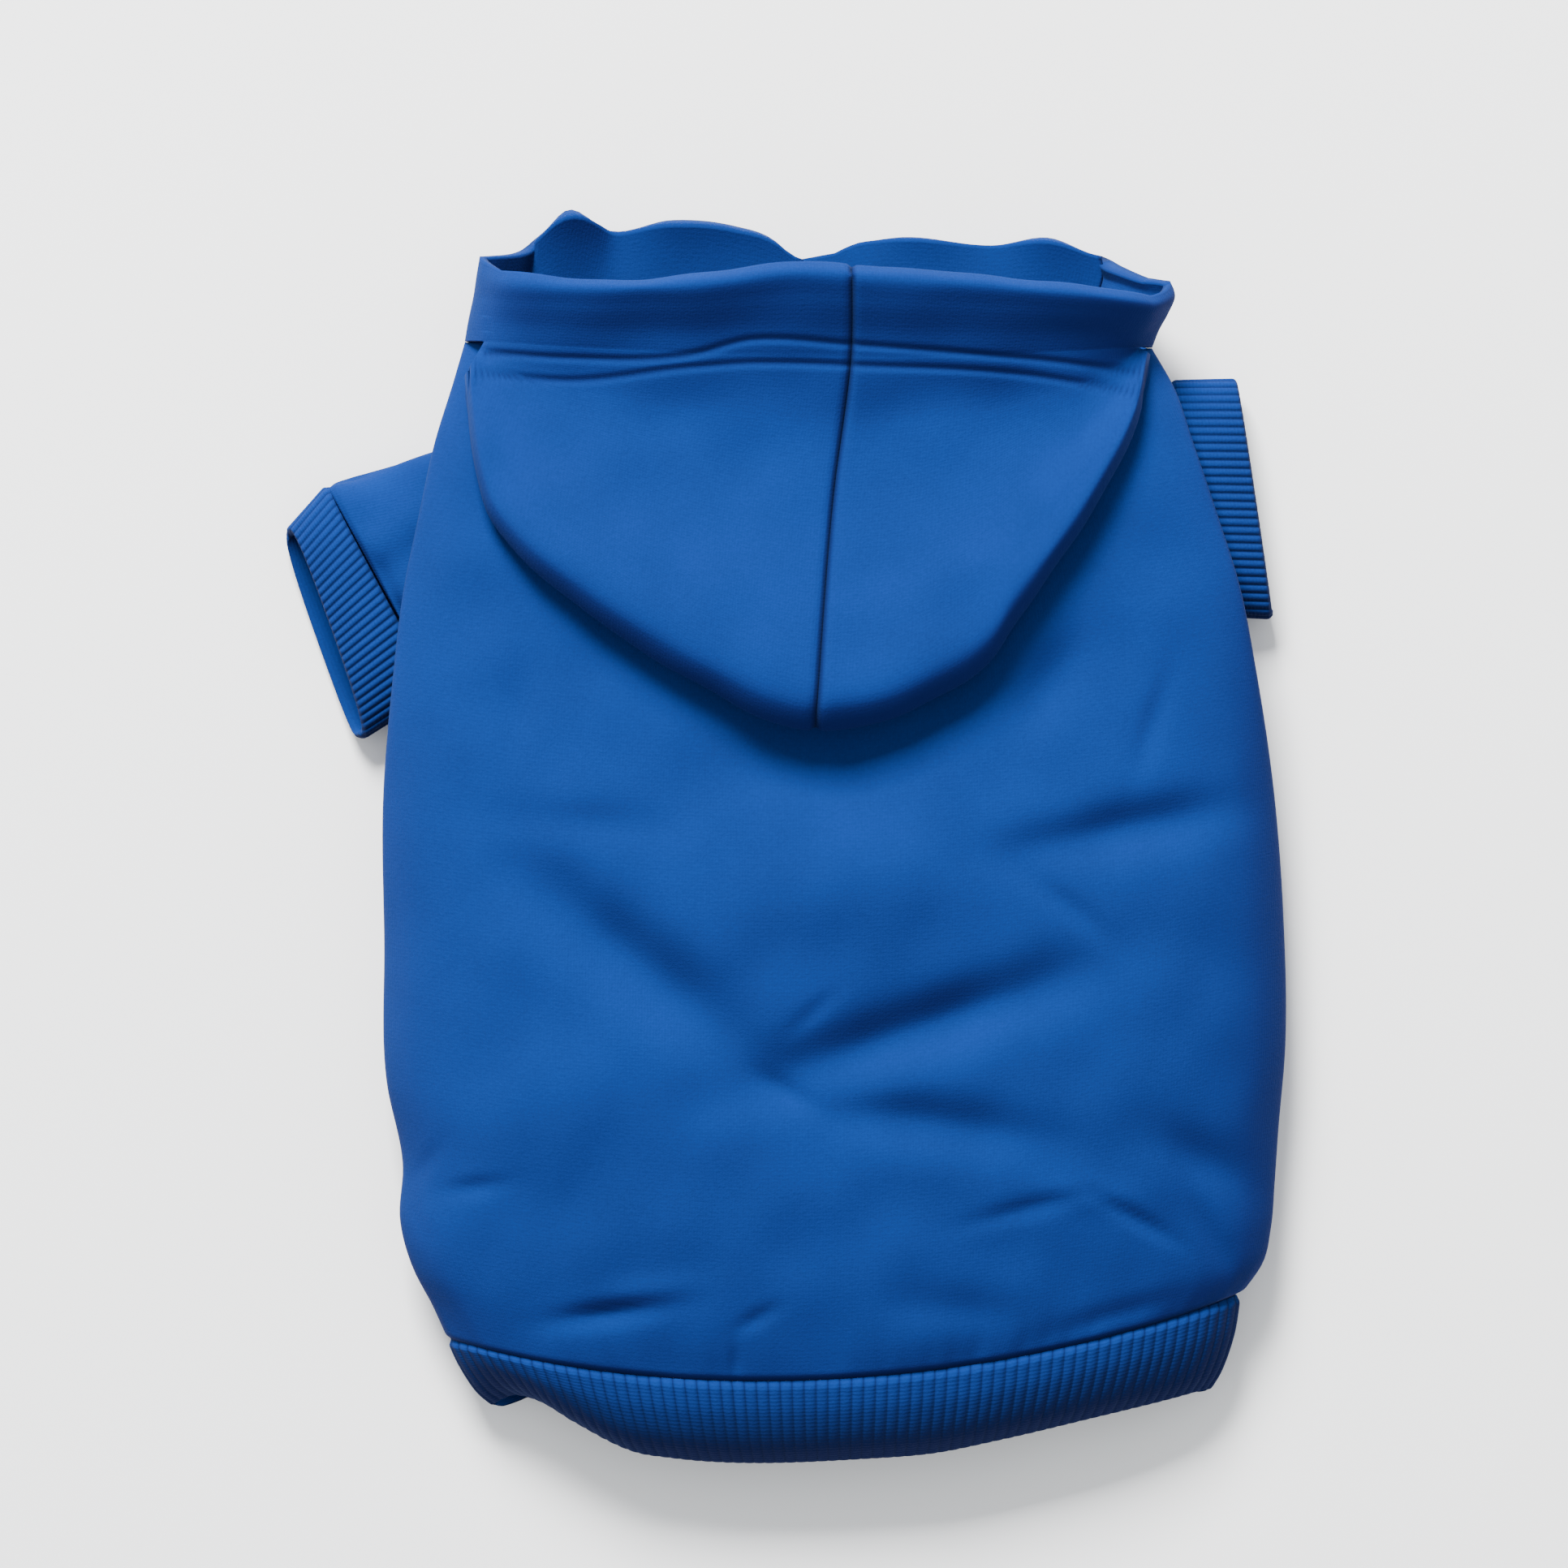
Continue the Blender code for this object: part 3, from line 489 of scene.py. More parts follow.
def finish_cloth(cloth, colour, height, strength, distance):
    """A matt surface with the cloth's own grain and the faint sheen of its fibre ends."""
    grain = cloth.add("Bump", {"Height": height, "Strength": strength, "Distance": distance}).outputs[0]
    cloth.set(Base_Color=colour, Roughness=0.95, Normal=grain, Specular_IOR_Level=0.12)
    cloth.set(Sheen_Weight=0.05, Sheen_Roughness=0.45, Sheen_Tint=linear("5f93e0"))


def fleece_cloth(name, light, dark):
    """The smooth knitted face of brushed-back cotton fleece: fine columns of stitches under a soft nap."""
    cloth = Nodes(name)
    where = cloth.add("UVMap", uv_map="cloth").outputs[0]
    body = cloth.add("TexCoord").outputs["Object"]
    split = cloth.add("SeparateXYZ", {0: where})
    wander = noise(cloth, body, 420.0, 2.0)
    across = cloth.maths("MULTIPLY", split.outputs[0], 2 * math.pi / WALE_PITCH)
    column = cloth.maths("SINE", cloth.maths("ADD", across, cloth.maths("MULTIPLY", wander, 5.0)))
    along = cloth.maths("MULTIPLY", split.outputs[1], 2 * math.pi / COURSE_PITCH)
    course = cloth.maths("SINE", cloth.maths("ADD", along, cloth.maths("MULTIPLY", wander, 6.0)))
    nap = noise(cloth, body, 2600.0, 3.0, 0.7)
    pile = noise(cloth, body, 900.0, 4.0, 0.65)
    patch = noise(cloth, body, 28.0, 3.0, 0.55)
    deep = cloth.add("Attribute", attribute_name="painted_shade").outputs["Fac"]
    knit = cloth.maths("ADD", cloth.maths("MULTIPLY", column, 0.35), cloth.maths("MULTIPLY", course, 0.2))
    height = cloth.maths("ADD", cloth.maths("MULTIPLY", knit, 0.5), cloth.maths("MULTIPLY", pile, 2.2))
    height = cloth.maths("ADD", height, cloth.maths("MULTIPLY", nap, 1.2))
    tone = cloth.maths("ADD", cloth.maths("MULTIPLY", patch, 0.5), cloth.maths("MULTIPLY", pile, 0.55))
    tone = cloth.maths("ADD", tone, cloth.maths("MULTIPLY", knit, 0.06))
    tone = cloth.add("MapRange", {"Value": tone, "From Min": 0.32, "From Max": 0.75}).outputs[0]
    colour = cloth.mix(tone, linear(dark), linear(light))
    # Painted shade: darker where the fleece faces away from the window light.
    colour = cloth.mix(painted_facing_shade(cloth, 0.12, 0.66), linear("031449"), colour)
    # Painted shade along the seams and the hem stitching.
    colour = cloth.mix(deep, colour, linear("020a30"))
    finish_cloth(cloth, colour, height, 0.35, 0.00022)
    return cloth.material


fleece = fleece_cloth("brushed-back cotton fleece", "042865", "032156")

seam_rings = body_rings([0.4])
rise_part = np.linspace(0, 1, 14)[:-1]
top_part = even_places(seam_rings, RIM, RING - RIM, 190)


def back_places(at):
    """The ring places of the back's net, from its left border over the top to its right border."""
    left = SEAM + ARMHOLE_BACK_CUT * lens(at, LEFT_ARMHOLE)
    right = SEAM + ARMHOLE_BACK_CUT * lens(at, RIGHT_ARMHOLE)
    rise = left + rise_part * (RIM - left)
    fall = RING - (right + rise_part[::-1] * (RIM - right))
    return np.concatenate([rise, top_part, fall])


def cloth_places(grid):
    """Each point's place on the flat cloth, in metres across and along it, measured over the net's middle."""
    middle = grid[len(grid) // 2]
    across = np.concatenate([[0], np.cumsum(np.linalg.norm(np.diff(middle, axis=0), axis=1))])
    line = grid[:, grid.shape[1] // 2]
    along = np.concatenate([[0], np.cumsum(np.linalg.norm(np.diff(line, axis=0), axis=1))])
    return np.stack(np.broadcast_arrays(across[None], along[:, None]), axis=-1)


def groove(distance, width=0.0013, depth=SEAM_DEPTH):
    """How far the cloth is drawn in beside a seam, at a distance from it."""
    return -depth * np.exp(-((distance / width) ** 2))


body_at = graded(BODY_LENGTH, 0.0022, 0.0006, 0.006)
back_grid = np.array([body_points([at], back_places(at))[0] for at in body_at])
back_cloth = cloth_places(back_grid)


def back_raised(points, places):
    """The waist seam draws the cloth in and leaves small puckers above it."""
    waist = places[:, 1]
    pucker = ripple(places[:, 0], 0.2 * waist, 0.016, 11) * np.exp(-waist / 0.009) * 0.00045
    return groove(waist) + pucker * (1 - np.exp(-waist / 0.002))


# Painted shade in the drawn-in waist seam.
def waist_seam_shade(points, places):
    return 0.85 * np.exp(-((places[:, 1] / 0.0012) ** 2))


back = cloth_mesh("back_fleece", [(back_grid, back_cloth, False)], FLEECE, back_raised, waist_seam_shade)
back.data.materials.append(fleece)
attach(back, "root")
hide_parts("back_panel")

# Belly panel. The underside of the body, which lies flat on the floor. It is cut from the same fleece and
# meets the back panel in the side seams and the sleeves in the armholes.
inner_part = np.linspace(-1, 1, 50)
out_part = np.linspace(0, 1, 26)


def belly_places(at):
    """The ring places of the belly's net, from its right border under the body to its left border."""
    left = SEAM - lens(at, LEFT_ARMHOLE)
    right = SEAM - lens(at, RIGHT_ARMHOLE)
    across = [-(1 + out_part[::-1] * (right - 1)), inner_part[1:-1], 1 + out_part * (left - 1)]
    return np.concatenate(across)


belly_at = graded(BODY_LENGTH, 0.004, 0.001, 0.004)
belly_grid = np.array([body_points([at], belly_places(at))[0] for at in belly_at])
belly_cloth = cloth_places(belly_grid)
belly = cloth_mesh("belly_fleece", [(belly_grid, belly_cloth, False)], FLEECE)
belly.data.materials.append(fleece)
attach(belly, "root")
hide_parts("belly_panel")

# Waistband. A doubled band of rib knit sewn round the waist, which draws the hem in. Its ribs run down to
# its free edge, which is open, and it rolls under at the tail and pokes out at its lower left corner.
RIB_KNIT = 0.0026
WAISTBAND_REACH = 0.0255
WAIST_ROUND = 0.52
WAIST_CLOTH = 0.034
WAIST_RIB_PITCH = 0.0037
WAIST_RIB_HEIGHT = 0.00032
RIB_POINTS = 8
CHAIN_PITCH = 0.0013
EDGE_ROUND = 0.0012
WAISTBAND_SECTIONS = table(
    "at left right height rim reach",
    [
        (0.00, 1.000, 1.000, 1.000, 1.00, 0.00),
        (0.35, 0.968, 0.985, 0.940, 0.93, 0.40),
        (0.70, 0.925, 0.955, 0.800, 0.80, 0.78),
        (1.00, 0.882, 0.925, 0.600, 0.66, 1.00),
    ],
)
WAISTBAND_EDGE = table(
    "across top floor",
    [
        (-0.78, 0.86, 0.92),
        (-0.70, 0.70, 0.80),
        (-0.645, 0.78, 0.72),
        (-0.57, 1.04, 0.80),
        (-0.43, 1.43, 1.05),
        (-0.36, 1.49, 1.15),
        (0.07, 1.50, 1.30),
        (0.22, 1.43, 1.20),
        (0.36, 1.27, 1.05),
        (0.57, 0.99, 0.85),
        (0.72, 0.79, 0.72),
        (0.82, 0.65, 0.65),
    ],
)


def rib_knit(name, light, dark, furrow_shade):
    """Rib knit of the same yarn: tiny chains of stitches along every rib, and shadow between the ribs."""
    knit = Nodes(name)
    where = knit.add("UVMap", uv_map="cloth").outputs[0]
    body = knit.add("TexCoord").outputs["Object"]
    split = knit.add("SeparateXYZ", {0: where})
    wander = noise(knit, body, 500.0, 2.0)
    along = knit.maths("MULTIPLY", split.outputs[1], 2 * math.pi / CHAIN_PITCH)
    chain = knit.maths("SINE", knit.maths("ADD", along, knit.maths("MULTIPLY", wander, 3.0)))
    pile = noise(knit, body, 1100.0, 4.0, 0.65)
    patch = noise(knit, body, 30.0, 2.0)
    deep = knit.add("Attribute", attribute_name="painted_shade").outputs["Fac"]
    height = knit.maths("ADD", knit.maths("MULTIPLY", chain, 0.35), knit.maths("MULTIPLY", pile, 2.0))
    tone = knit.maths("ADD", knit.maths("MULTIPLY", patch, 0.5), knit.maths("MULTIPLY", pile, 0.6))
    tone = knit.maths("ADD", tone, knit.maths("MULTIPLY", chain, 0.05))
    tone = knit.add("MapRange", {"Value": tone, "From Min": 0.32, "From Max": 0.78}).outputs[0]
    colour = knit.mix(tone, linear(dark), linear(light))
    # Painted shade: darker where the rib faces away from the window light.
    colour = knit.mix(painted_facing_shade(knit, 0.05, 0.66), linear("020d36"), colour)
    # Painted shade in the furrows between the ribs.
    colour = knit.mix(deep, colour, linear(furrow_shade))
    finish_cloth(knit, colour, height, 0.4, 0.00025)
    return knit.material


rib = rib_knit("cotton rib knit", "052a68", "042258", "020d30")


def rib_wave(across, pitch):
    """A rib's round back and the narrow furrow beside it, from 0 in the furrow to 1 on the back."""
    turn = (across / pitch) % 1
    return np.sin(np.pi * turn) ** 0.7


def rounded_edge(left_over):
    """How far a folded free edge rounds off, at a distance from it."""
    return -EDGE_ROUND * (1 - np.clip(left_over / 0.0016, 0, 1)) ** 2


def waistband_points(at, places):
    """The band's rings, which carry on from the body's first ring and roll under at the tail."""
    seam = body_rings([0.0])
    made = rows_of(WAISTBAND_SECTIONS, at)
    rings = {name: made[name] * seam[name] for name in ("left", "right", "height")}
    for side in ("left", "right"):
        rings[f"rim_{side}"] = made["rim"] * seam[f"rim_{side}"]
        rings[f"tuck_{side}"] = made["rim"] * seam[f"tuck_{side}"]
    rings |= {name: seam[name] + 0 * at for name in ("y_left", "y_right", "bow_top", "bow_floor")}
    points = ring_points(rings, places)
    edge_points = ring_points({name: value[-1:] for name, value in rings.items()}, places)
    near = np.minimum(places % RING, RING - places % RING)
    over = np.clip((near - UNDER) / (BROW - UNDER), 0, 1)
    share = edge_points[0, :, 0] / BODY_HALF_WIDTH
    top, floor = [between(share, WAISTBAND_EDGE["across"], WAISTBAND_EDGE[name]) for name in ("top", "floor")]
    edge = -WAISTBAND_REACH * (top * over + floor * (1 - over))
    start = body_points([0.0], places)[0]
    points += (start - points[0]) * (1 - at[:, None, None])
    points[..., 1] += (edge - points[..., 1]) * made["reach"][:, None]
    return points


waist_count = round(WAIST_ROUND / WAIST_RIB_PITCH) * RIB_POINTS
waist_places = even_places(body_rings([0.0]), 0, RING, waist_count + 1)[:-1]
waist_at = [np.linspace(0, 0.12, 6)[:-1], np.linspace(0.12, 0.92, 18), np.linspace(0.92, 1, 5)[1:]]
waist_at = np.concatenate(waist_at)
waist_grid = waistband_points(waist_at, waist_places)
waist_across = np.arange(waist_count)[None] * WAIST_RIB_PITCH / RIB_POINTS
waist_cloth = np.stack(np.broadcast_arrays(waist_across, waist_at[:, None] * WAIST_CLOTH), axis=-1)


def waist_raised(points, places):
    """The band's ribs, lower at its seam and at its free edge, with the seam drawn in."""
    left_over = WAIST_CLOTH - places[:, 1]
    edge = np.clip(np.minimum(places[:, 1], left_over) / 0.0025, 0, 1)
    wave = rib_wave(places[:, 0], WAIST_RIB_PITCH) * WAIST_RIB_HEIGHT
    return wave * (0.35 + 0.65 * edge) + groove(places[:, 1], 0.0012, 0.0012) + rounded_edge(left_over)


def rib_furrow_shade(pitch):
    """The shade between the ribs, for ribs of this pitch."""
    return lambda points, places: 0.75 * (1 - rib_wave(places[:, 0], pitch)) ** 2


waist_net = [(waist_grid, waist_cloth, True)]
waist = cloth_mesh("waistband_rib", waist_net, RIB_KNIT, waist_raised, rib_furrow_shade(WAIST_RIB_PITCH))
waist.data.materials.append(rib)
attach(waist, "root")
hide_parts("waistband")

# Sleeves. Short tubes of fleece set into the armholes. The left one lies flat beside the body, and the
# body has slid over the right one, so that only its cuff shows.
CUFF_HEIGHT = 0.0175
CUFF_LEANS = {"left": 0.0028, "right": -0.0004}
CUFF_RIBS = 62
CUFF_RIB_PITCH = 0.0027
CUFF_RIB_HEIGHT = 0.00045
CUFF_CLOTH = 0.026
SLEEVE_POINTS = 144
SLEEVE_STEP = 0.00115
SLEEVE_FOLD = 0.0011
SLEEVE_SWELL = 0.0022
CUFF_ENDS = {
    "left": {"seam": ((-1.125, 0.858), (-0.880, 0.650)), "edge": ((-1.215, 0.812), (-1.050, 0.602))},
    "right": {"seam": ((0.742, 0.962), (0.806, 0.728)), "edge": ((0.893, 0.964), (0.972, 0.724))},
}


def flat_ring(ends, height, lean, count):
    """A flattened tube's ring on the floor, evenly spaced: the top from its first end, then the underside."""
    first, last = [np.array([across * BODY_HALF_WIDTH, along * BODY_LENGTH]) for across, along in ends]
    middle, reach = (first + last) / 2, (first - last) / 2
    out = np.array([reach[1], -reach[0]]) / np.linalg.norm(reach)
    out = out if (out @ middle) * middle[0] * middle[0] > 0 else -out
    turn = np.linspace(0, 2 * np.pi, 2001)
    across = np.sign(np.cos(turn)) * np.abs(np.cos(turn)) ** 0.8
    up = np.sign(np.sin(turn)) * np.abs(np.sin(turn)) ** 0.7
    plan = middle + across[:, None] * reach - (lean * up)[:, None] * out
    ring = np.column_stack([plan, height * (0.5 + 0.5 * up)])
    run = np.concatenate([[0], np.cumsum(np.linalg.norm(np.diff(ring, axis=0), axis=1))])
    even = np.linspace(0, run[-1], count + 1)[:-1]
    return np.stack([np.interp(even, run, ring[:, k]) for k in range(3)], axis=-1)


def armhole_ring(side, count):
    """The armhole's border, from its front end back along the upper border and forward along the lower."""
    hole = LEFT_ARMHOLE if side == "left" else RIGHT_ARMHOLE
    sign = 1 if side == "left" else -1
    half = count // 2
    back = hole[1] + (hole[0] - hole[1]) * np.arange(half) / half
    fore = hole[0] + (hole[1] - hole[0]) * np.arange(count - half) / (count - half)
    upper = [body_points([at], [sign * (SEAM + ARMHOLE_BACK_CUT * lens(at, hole))])[0, 0] for at in back]
    lower = [body_points([at], [sign * (SEAM - lens(at, hole))])[0, 0] for at in fore]
    return np.array(upper + lower)


def sleeve_raised(points, places):
    """Soft folds along the sleeve, which die out at the armhole and at the cuff's seam."""
    fold = SLEEVE_FOLD * ripple(places[:, 0], places[:, 1] * 0.6, 0.030, 23)
    seam = places[:, 1].max() - places[:, 1]
    fold = fold * np.clip(seam / 0.006, 0, 1) * np.clip(places[:, 1] / 0.006, 0, 1)
    return groove(seam, 0.0012, 0.0010) + fold


for side, deep in (("left", 0.036), ("right", 0.052)):
    hole = armhole_ring(side, SLEEVE_POINTS)
    seam = flat_ring(CUFF_ENDS[side]["seam"], CUFF_HEIGHT, 0, SLEEVE_POINTS)
    q = graded(deep, 0.0022, 0.0006, 0.004)[:, None, None]
    grid = (1 - q) * hole + q * seam
    grid[..., 2] += SLEEVE_SWELL * np.sin(np.pi * q[..., 0]) * (grid[..., 2] > 0.006)
    across = np.arange(SLEEVE_POINTS)[None] * SLEEVE_STEP
    places = np.stack(np.broadcast_arrays(across, q[:, :, 0] * deep), axis=-1)
    sleeve = cloth_mesh(f"sleeve_{side}_fleece", [(grid, places, True)], FLEECE, sleeve_raised)
    sleeve.data.materials.append(fleece)
    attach(sleeve, "root")
    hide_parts(f"sleeve_{side}")

# Cuffs. Doubled rib knit with a folded free edge. The ribs run along the arm, and the flattened mouth of the
# left cuff lies open, with its upper edge a little behind the lower one.
cuff_at = [np.linspace(0, 0.15, 6)[:-1], np.linspace(0.15, 0.90, 14), np.linspace(0.9, 1, 5)[1:]]
cuff_at = np.concatenate(cuff_at)[:, None, None]
cuff_count = CUFF_RIBS * RIB_POINTS
cuff_across = np.arange(cuff_count)[None] * CUFF_RIB_PITCH / RIB_POINTS


def cuff_raised(points, places):
    """The cuff's ribs, lower at its seam and at its free edge, with the seam drawn in."""
    left_over = CUFF_CLOTH - places[:, 1]
    edge = np.clip(np.minimum(places[:, 1], left_over) / 0.002, 0, 1)
    wave = rib_wave(places[:, 0], CUFF_RIB_PITCH) * CUFF_RIB_HEIGHT
    return wave * (0.4 + 0.6 * edge) + groove(places[:, 1], 0.0012, 0.0011) + rounded_edge(left_over)


for side, lean_back in CUFF_LEANS.items():
    seam = flat_ring(CUFF_ENDS[side]["seam"], CUFF_HEIGHT, 0, cuff_count)
    edge = flat_ring(CUFF_ENDS[side]["edge"], CUFF_HEIGHT * 0.9, lean_back, cuff_count)
    grid = (1 - cuff_at) * seam + cuff_at * edge
    grid[..., 2] *= 1 + 0.12 * np.sin(np.pi * cuff_at[..., 0])
    places = np.stack(np.broadcast_arrays(cuff_across, cuff_at[:, :, 0] * CUFF_CLOTH), axis=-1)
    net = [(grid, places, True)]
    cuff = cloth_mesh(f"cuff_{side}_rib", net, RIB_KNIT, cuff_raised, rib_furrow_shade(CUFF_RIB_PITCH))
    cuff.data.materials.append(rib)
    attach(cuff, "root")
    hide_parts(f"cuff_{side}")

# Hood. Two halves of fleece, sewn together over the crown and at the throat and gathered into the neck. The
# face opening has a deep turned hem, and the rest is folded down over the back as a flat double pouch.
HEM_REACH = 0.0270
HOOD_DEPTH = 0.125
HOOD_HEIGHT = 0.0510
CROWN_THICKNESS = 0.0150
CORNER_THICKNESS = 0.0066
PANEL_CLEARANCE = 0.0012
NAPE_CLEARANCE = 0.0006
NECK_GAP = 0.0002
CORNER = 5.9
THROAT = 0.2
CROWN_SHARE = 0.5
END_SHARE = 0.03
HEM_SECTIONS = table(
    "at left right height rim reach_left reach_right reach_top reach_floor",
    [
        (0.00, 1.000, 1.000, 0.960, 1.00, 0.00, 0.00, -0.18, 0.00),
        (0.25, 0.990, 1.020, 1.010, 1.06, 0.25, 0.20, 0.12, 0.30),
        (0.55, 0.975, 1.050, 1.095, 1.16, 0.55, 0.42, 0.50, 0.66),
        (0.82, 0.965, 1.070, 1.145, 1.26, 0.83, 0.64, 0.82, 1.00),
        (1.00, 0.958, 1.055, 1.085, 1.30, 1.00, 0.78, 0.95, 1.20),
    ],
)
UPPER_LIP = table(
    "across reach",
    [
        (-0.783, 0.85),
        (-0.685, 0.77),
        (-0.544, 0.69),
        (-0.402, 0.70),
        (-0.260, 0.78),
        (-0.137, 0.89),
        (0.032, 0.84),
        (0.182, 0.78),
        (0.394, 0.68),
        (0.642, 0.55),
        (0.725, 0.47),
    ],
)
LOWER_LIP = table(
    "across reach lift",
    [
        (-0.80, 1.00, 0.00),
        (-0.70, 1.13, 0.07),
        (-0.645, 1.34, 0.12),
        (-0.597, 1.58, 0.20),
        (-0.50, 1.36, 0.05),
        (-0.36, 1.48, 0.12),
        (-0.22, 1.41, 0.10),
        (-0.14, 1.27, 0.07),
        (-0.09, 1.06, 0.03),
        (0.07, 1.23, 0.01),
        (0.14, 1.28, 0.05),
        (0.36, 1.19, 0.02),
        (0.48, 1.27, 0.09),
        (0.57, 1.09, 0.04),
        (0.65, 1.00, 0.00),
        (0.73, 0.84, 0.00),
    ],
)
HOOD_OUTLINE = table(
    "across back",
    [
        (-0.817, 0.000),
        (-0.810, 0.187),
        (-0.778, 0.395),
        (-0.754, 0.468),
        (-0.688, 0.562),
        (-0.473, 0.753),
        (-0.258, 0.898),
        (-0.069, 0.992),
        (0.065, 0.988),
        (0.155, 0.962),
        (0.244, 0.910),
        (0.316, 0.856),
        (0.361, 0.806),
        (0.405, 0.718),
        (0.549, 0.468),
        (0.666, 0.208),
        (0.701, 0.000),
    ],
)

# How far the centre seam lies to the right, as a share of BODY_HALF_WIDTH, along the body's length.
SEAM_LEAN = table(
    "along right",
    [
        (0.55, -0.030),
        (0.62, -0.022),
        (0.85, 0.006),
        (0.98, 0.036),
        (1.10, 0.036),
    ],
)

# The laid hood behind its hem: how far it has settled to the fold's height, and its sag in metres.
HOOD_SAG = ((0.20, 0.0, 0.0042), (0.46, 0.30, 0.0048), (0.76, 0.80, 0.0010))

# The height of the back, read off its own points on a square net.
back_surface = body_points(np.linspace(0, 1, 161), np.linspace(RIM, RING - RIM, 241))
height_x = np.linspace(-BODY_HALF_WIDTH, BODY_HALF_WIDTH, 201)
height_y = np.linspace(WAIST_BOW, BODY_LENGTH, 221)
row_y = np.array([np.interp(height_x, line[:, 0], line[:, 1]) for line in back_surface])
row_z = np.array([np.interp(height_x, line[:, 0], line[:, 2]) for line in back_surface])
heights = np.array([np.interp(height_y, row_y[:, i], row_z[:, i]) for i in range(len(height_x))])


def body_top(x, y):
    """The height of the back at places seen from above."""
    i = np.clip((x - height_x[0]) / (height_x[1] - height_x[0]), 0, len(height_x) - 1.001)
    j = np.clip((y - height_y[0]) / (height_y[1] - height_y[0]), 0, len(height_y) - 1.001)
    a, b = i.astype(int), j.astype(int)
    p, q = i - a, j - b
    low = heights[a, b] * (1 - p) + heights[a + 1, b] * p
    high = heights[a, b + 1] * (1 - p) + heights[a + 1, b + 1] * p
    return low * (1 - q) + high * q


def lean(points, places):
    """Moves the hood across with its centre seam: to the right at the hem and to the left at the crown."""
    near = np.minimum(places % RING, RING - places % RING)
    inner = np.clip((near - CORNER) / 1.5, 0, 1)
    wide = np.clip(1 - (points[..., 0] / (0.75 * BODY_HALF_WIDTH)) ** 2, 0, 1) ** 2
    right = between(points[..., 1] / BODY_LENGTH, SEAM_LEAN["along"], SEAM_LEAN["right"])
    points[..., 0] += right * BODY_HALF_WIDTH * wide * inner
    return points


def hem_points(at, places):
    """The hem's rings, from the stitched line at the neck to the folded edge of the face opening."""
    neck = body_rings([1.0])
    made = rows_of(HEM_SECTIONS, at)
    rings = {side: made[side] * neck[side] for side in ("left", "right")}
    rings["height"] = made["height"] * HOOD_HEIGHT
    for side in ("left", "right"):
        rings[f"rim_{side}"] = made["rim"] * neck[f"rim_{side}"]
        rings[f"tuck_{side}"] = neck[f"tuck_{side}"] + 0 * at
        rings[f"y_{side}"] = neck[f"y_{side}"] + NECK_GAP + made[f"reach_{side}"] * HEM_REACH
    middle = (made["reach_left"] + made["reach_right"]) / 2
    rings["bow_top"] = (made["reach_top"] - middle) * HEM_REACH
    rings["bow_floor"] = (made["reach_floor"] - middle) * HEM_REACH
    points = ring_points(rings, places)
    place = places % RING
    near = np.minimum(place, RING - place)
    under = np.clip((UNDER - near) / (UNDER - FOOT), 0, 1)
    share = points[..., 0] / BODY_HALF_WIDTH
    out = at[:, None] * under
    edge = BODY_LENGTH + between(share, LOWER_LIP["across"], LOWER_LIP["reach"]) * HEM_REACH
    lift = between(share, LOWER_LIP["across"], LOWER_LIP["lift"]) * HOOD_HEIGHT
    points[..., 1] += (edge - points[-1:, :, 1]) * out
    points[..., 2] += np.maximum(lift, 0) * out**2
    over = np.clip((near - RIM) / (BROW - RIM), 0, 1)
    edge = BODY_LENGTH + between(share, UPPER_LIP["across"], UPPER_LIP["reach"]) * HEM_REACH
    points[..., 1] += (edge - points[-1:, :, 1]) * at[:, None] * over
    return points


def hood_outline(share):
    """The laid hood's fold, seen from above, at shares of the way from the left corner to the right."""
    line = np.column_stack([HOOD_OUTLINE["across"] * BODY_HALF_WIDTH, -HOOD_OUTLINE["back"] * HOOD_DEPTH])
    fine = through(line[None], np.linspace(0, len(line) - 1, 900), closed=False)[0]
    run = np.concatenate([[0], np.cumsum(np.linalg.norm(np.diff(fine, axis=0), axis=1))])
    tip = run[np.argmin(fine[:, 1])]
    before = share / CROWN_SHARE * tip
    after = tip + (share - CROWN_SHARE) / CROWN_SHARE * (run[-1] - tip)
    along = np.where(share < CROWN_SHARE, before, after)
    x, y = [np.interp(along, run, fine[:, k]) for k in (0, 1)]
    return np.column_stack([x, y + BODY_LENGTH])


def pouch_points(places, stitched, at):
    """The hood behind its hem: over the top layer, round the fold, and back under to the nape."""
    reach = (places - CORNER) / (RING - 2 * CORNER)
    share = END_SHARE + (1 - 2 * END_SHARE) * reach
    tip = hood_outline(share)
    nape = body_points([1.0], places)[0]
    thick = CORNER_THICKNESS + (CROWN_THICKNESS - CORNER_THICKNESS) * np.sin(np.pi * share)
    inset = np.minimum(0.5 * thick, 0.3 * np.linalg.norm(tip - stitched[:, :2], axis=1))
    way = stitched[:, :2] - tip
    way /= np.linalg.norm(way, axis=1)[:, None]
    fold = tip + way * inset[:, None]
    floor = body_top(fold[:, 0], fold[:, 1]) + PANEL_CLEARANCE
    line = [stitched]
    for part, settle, dip in HOOD_SAG:
        plan = (1 - part) * stitched[:, :2] + part * fold
        up = (1 - settle) * stitched[:, 2] + settle * (floor + thick) - dip * np.sin(np.pi * share)
        line.append(np.column_stack([plan, up]))
    line.append(np.column_stack([fold, floor + thick]))
    line.append(np.column_stack([tip, floor + 0.5 * thick]))
    line.append(np.column_stack([fold, floor]))
    for part in (0.66, 0.33):
        plan = (1 - part) * nape[:, :2] + part * fold
        line.append(np.column_stack([plan, body_top(plan[:, 0], plan[:, 1]) + PANEL_CLEARANCE]))
    line.append(nape + [0, 0, NAPE_CLEARANCE])
    return through(np.stack(line, axis=1), at, closed=False).transpose(1, 0, 2)


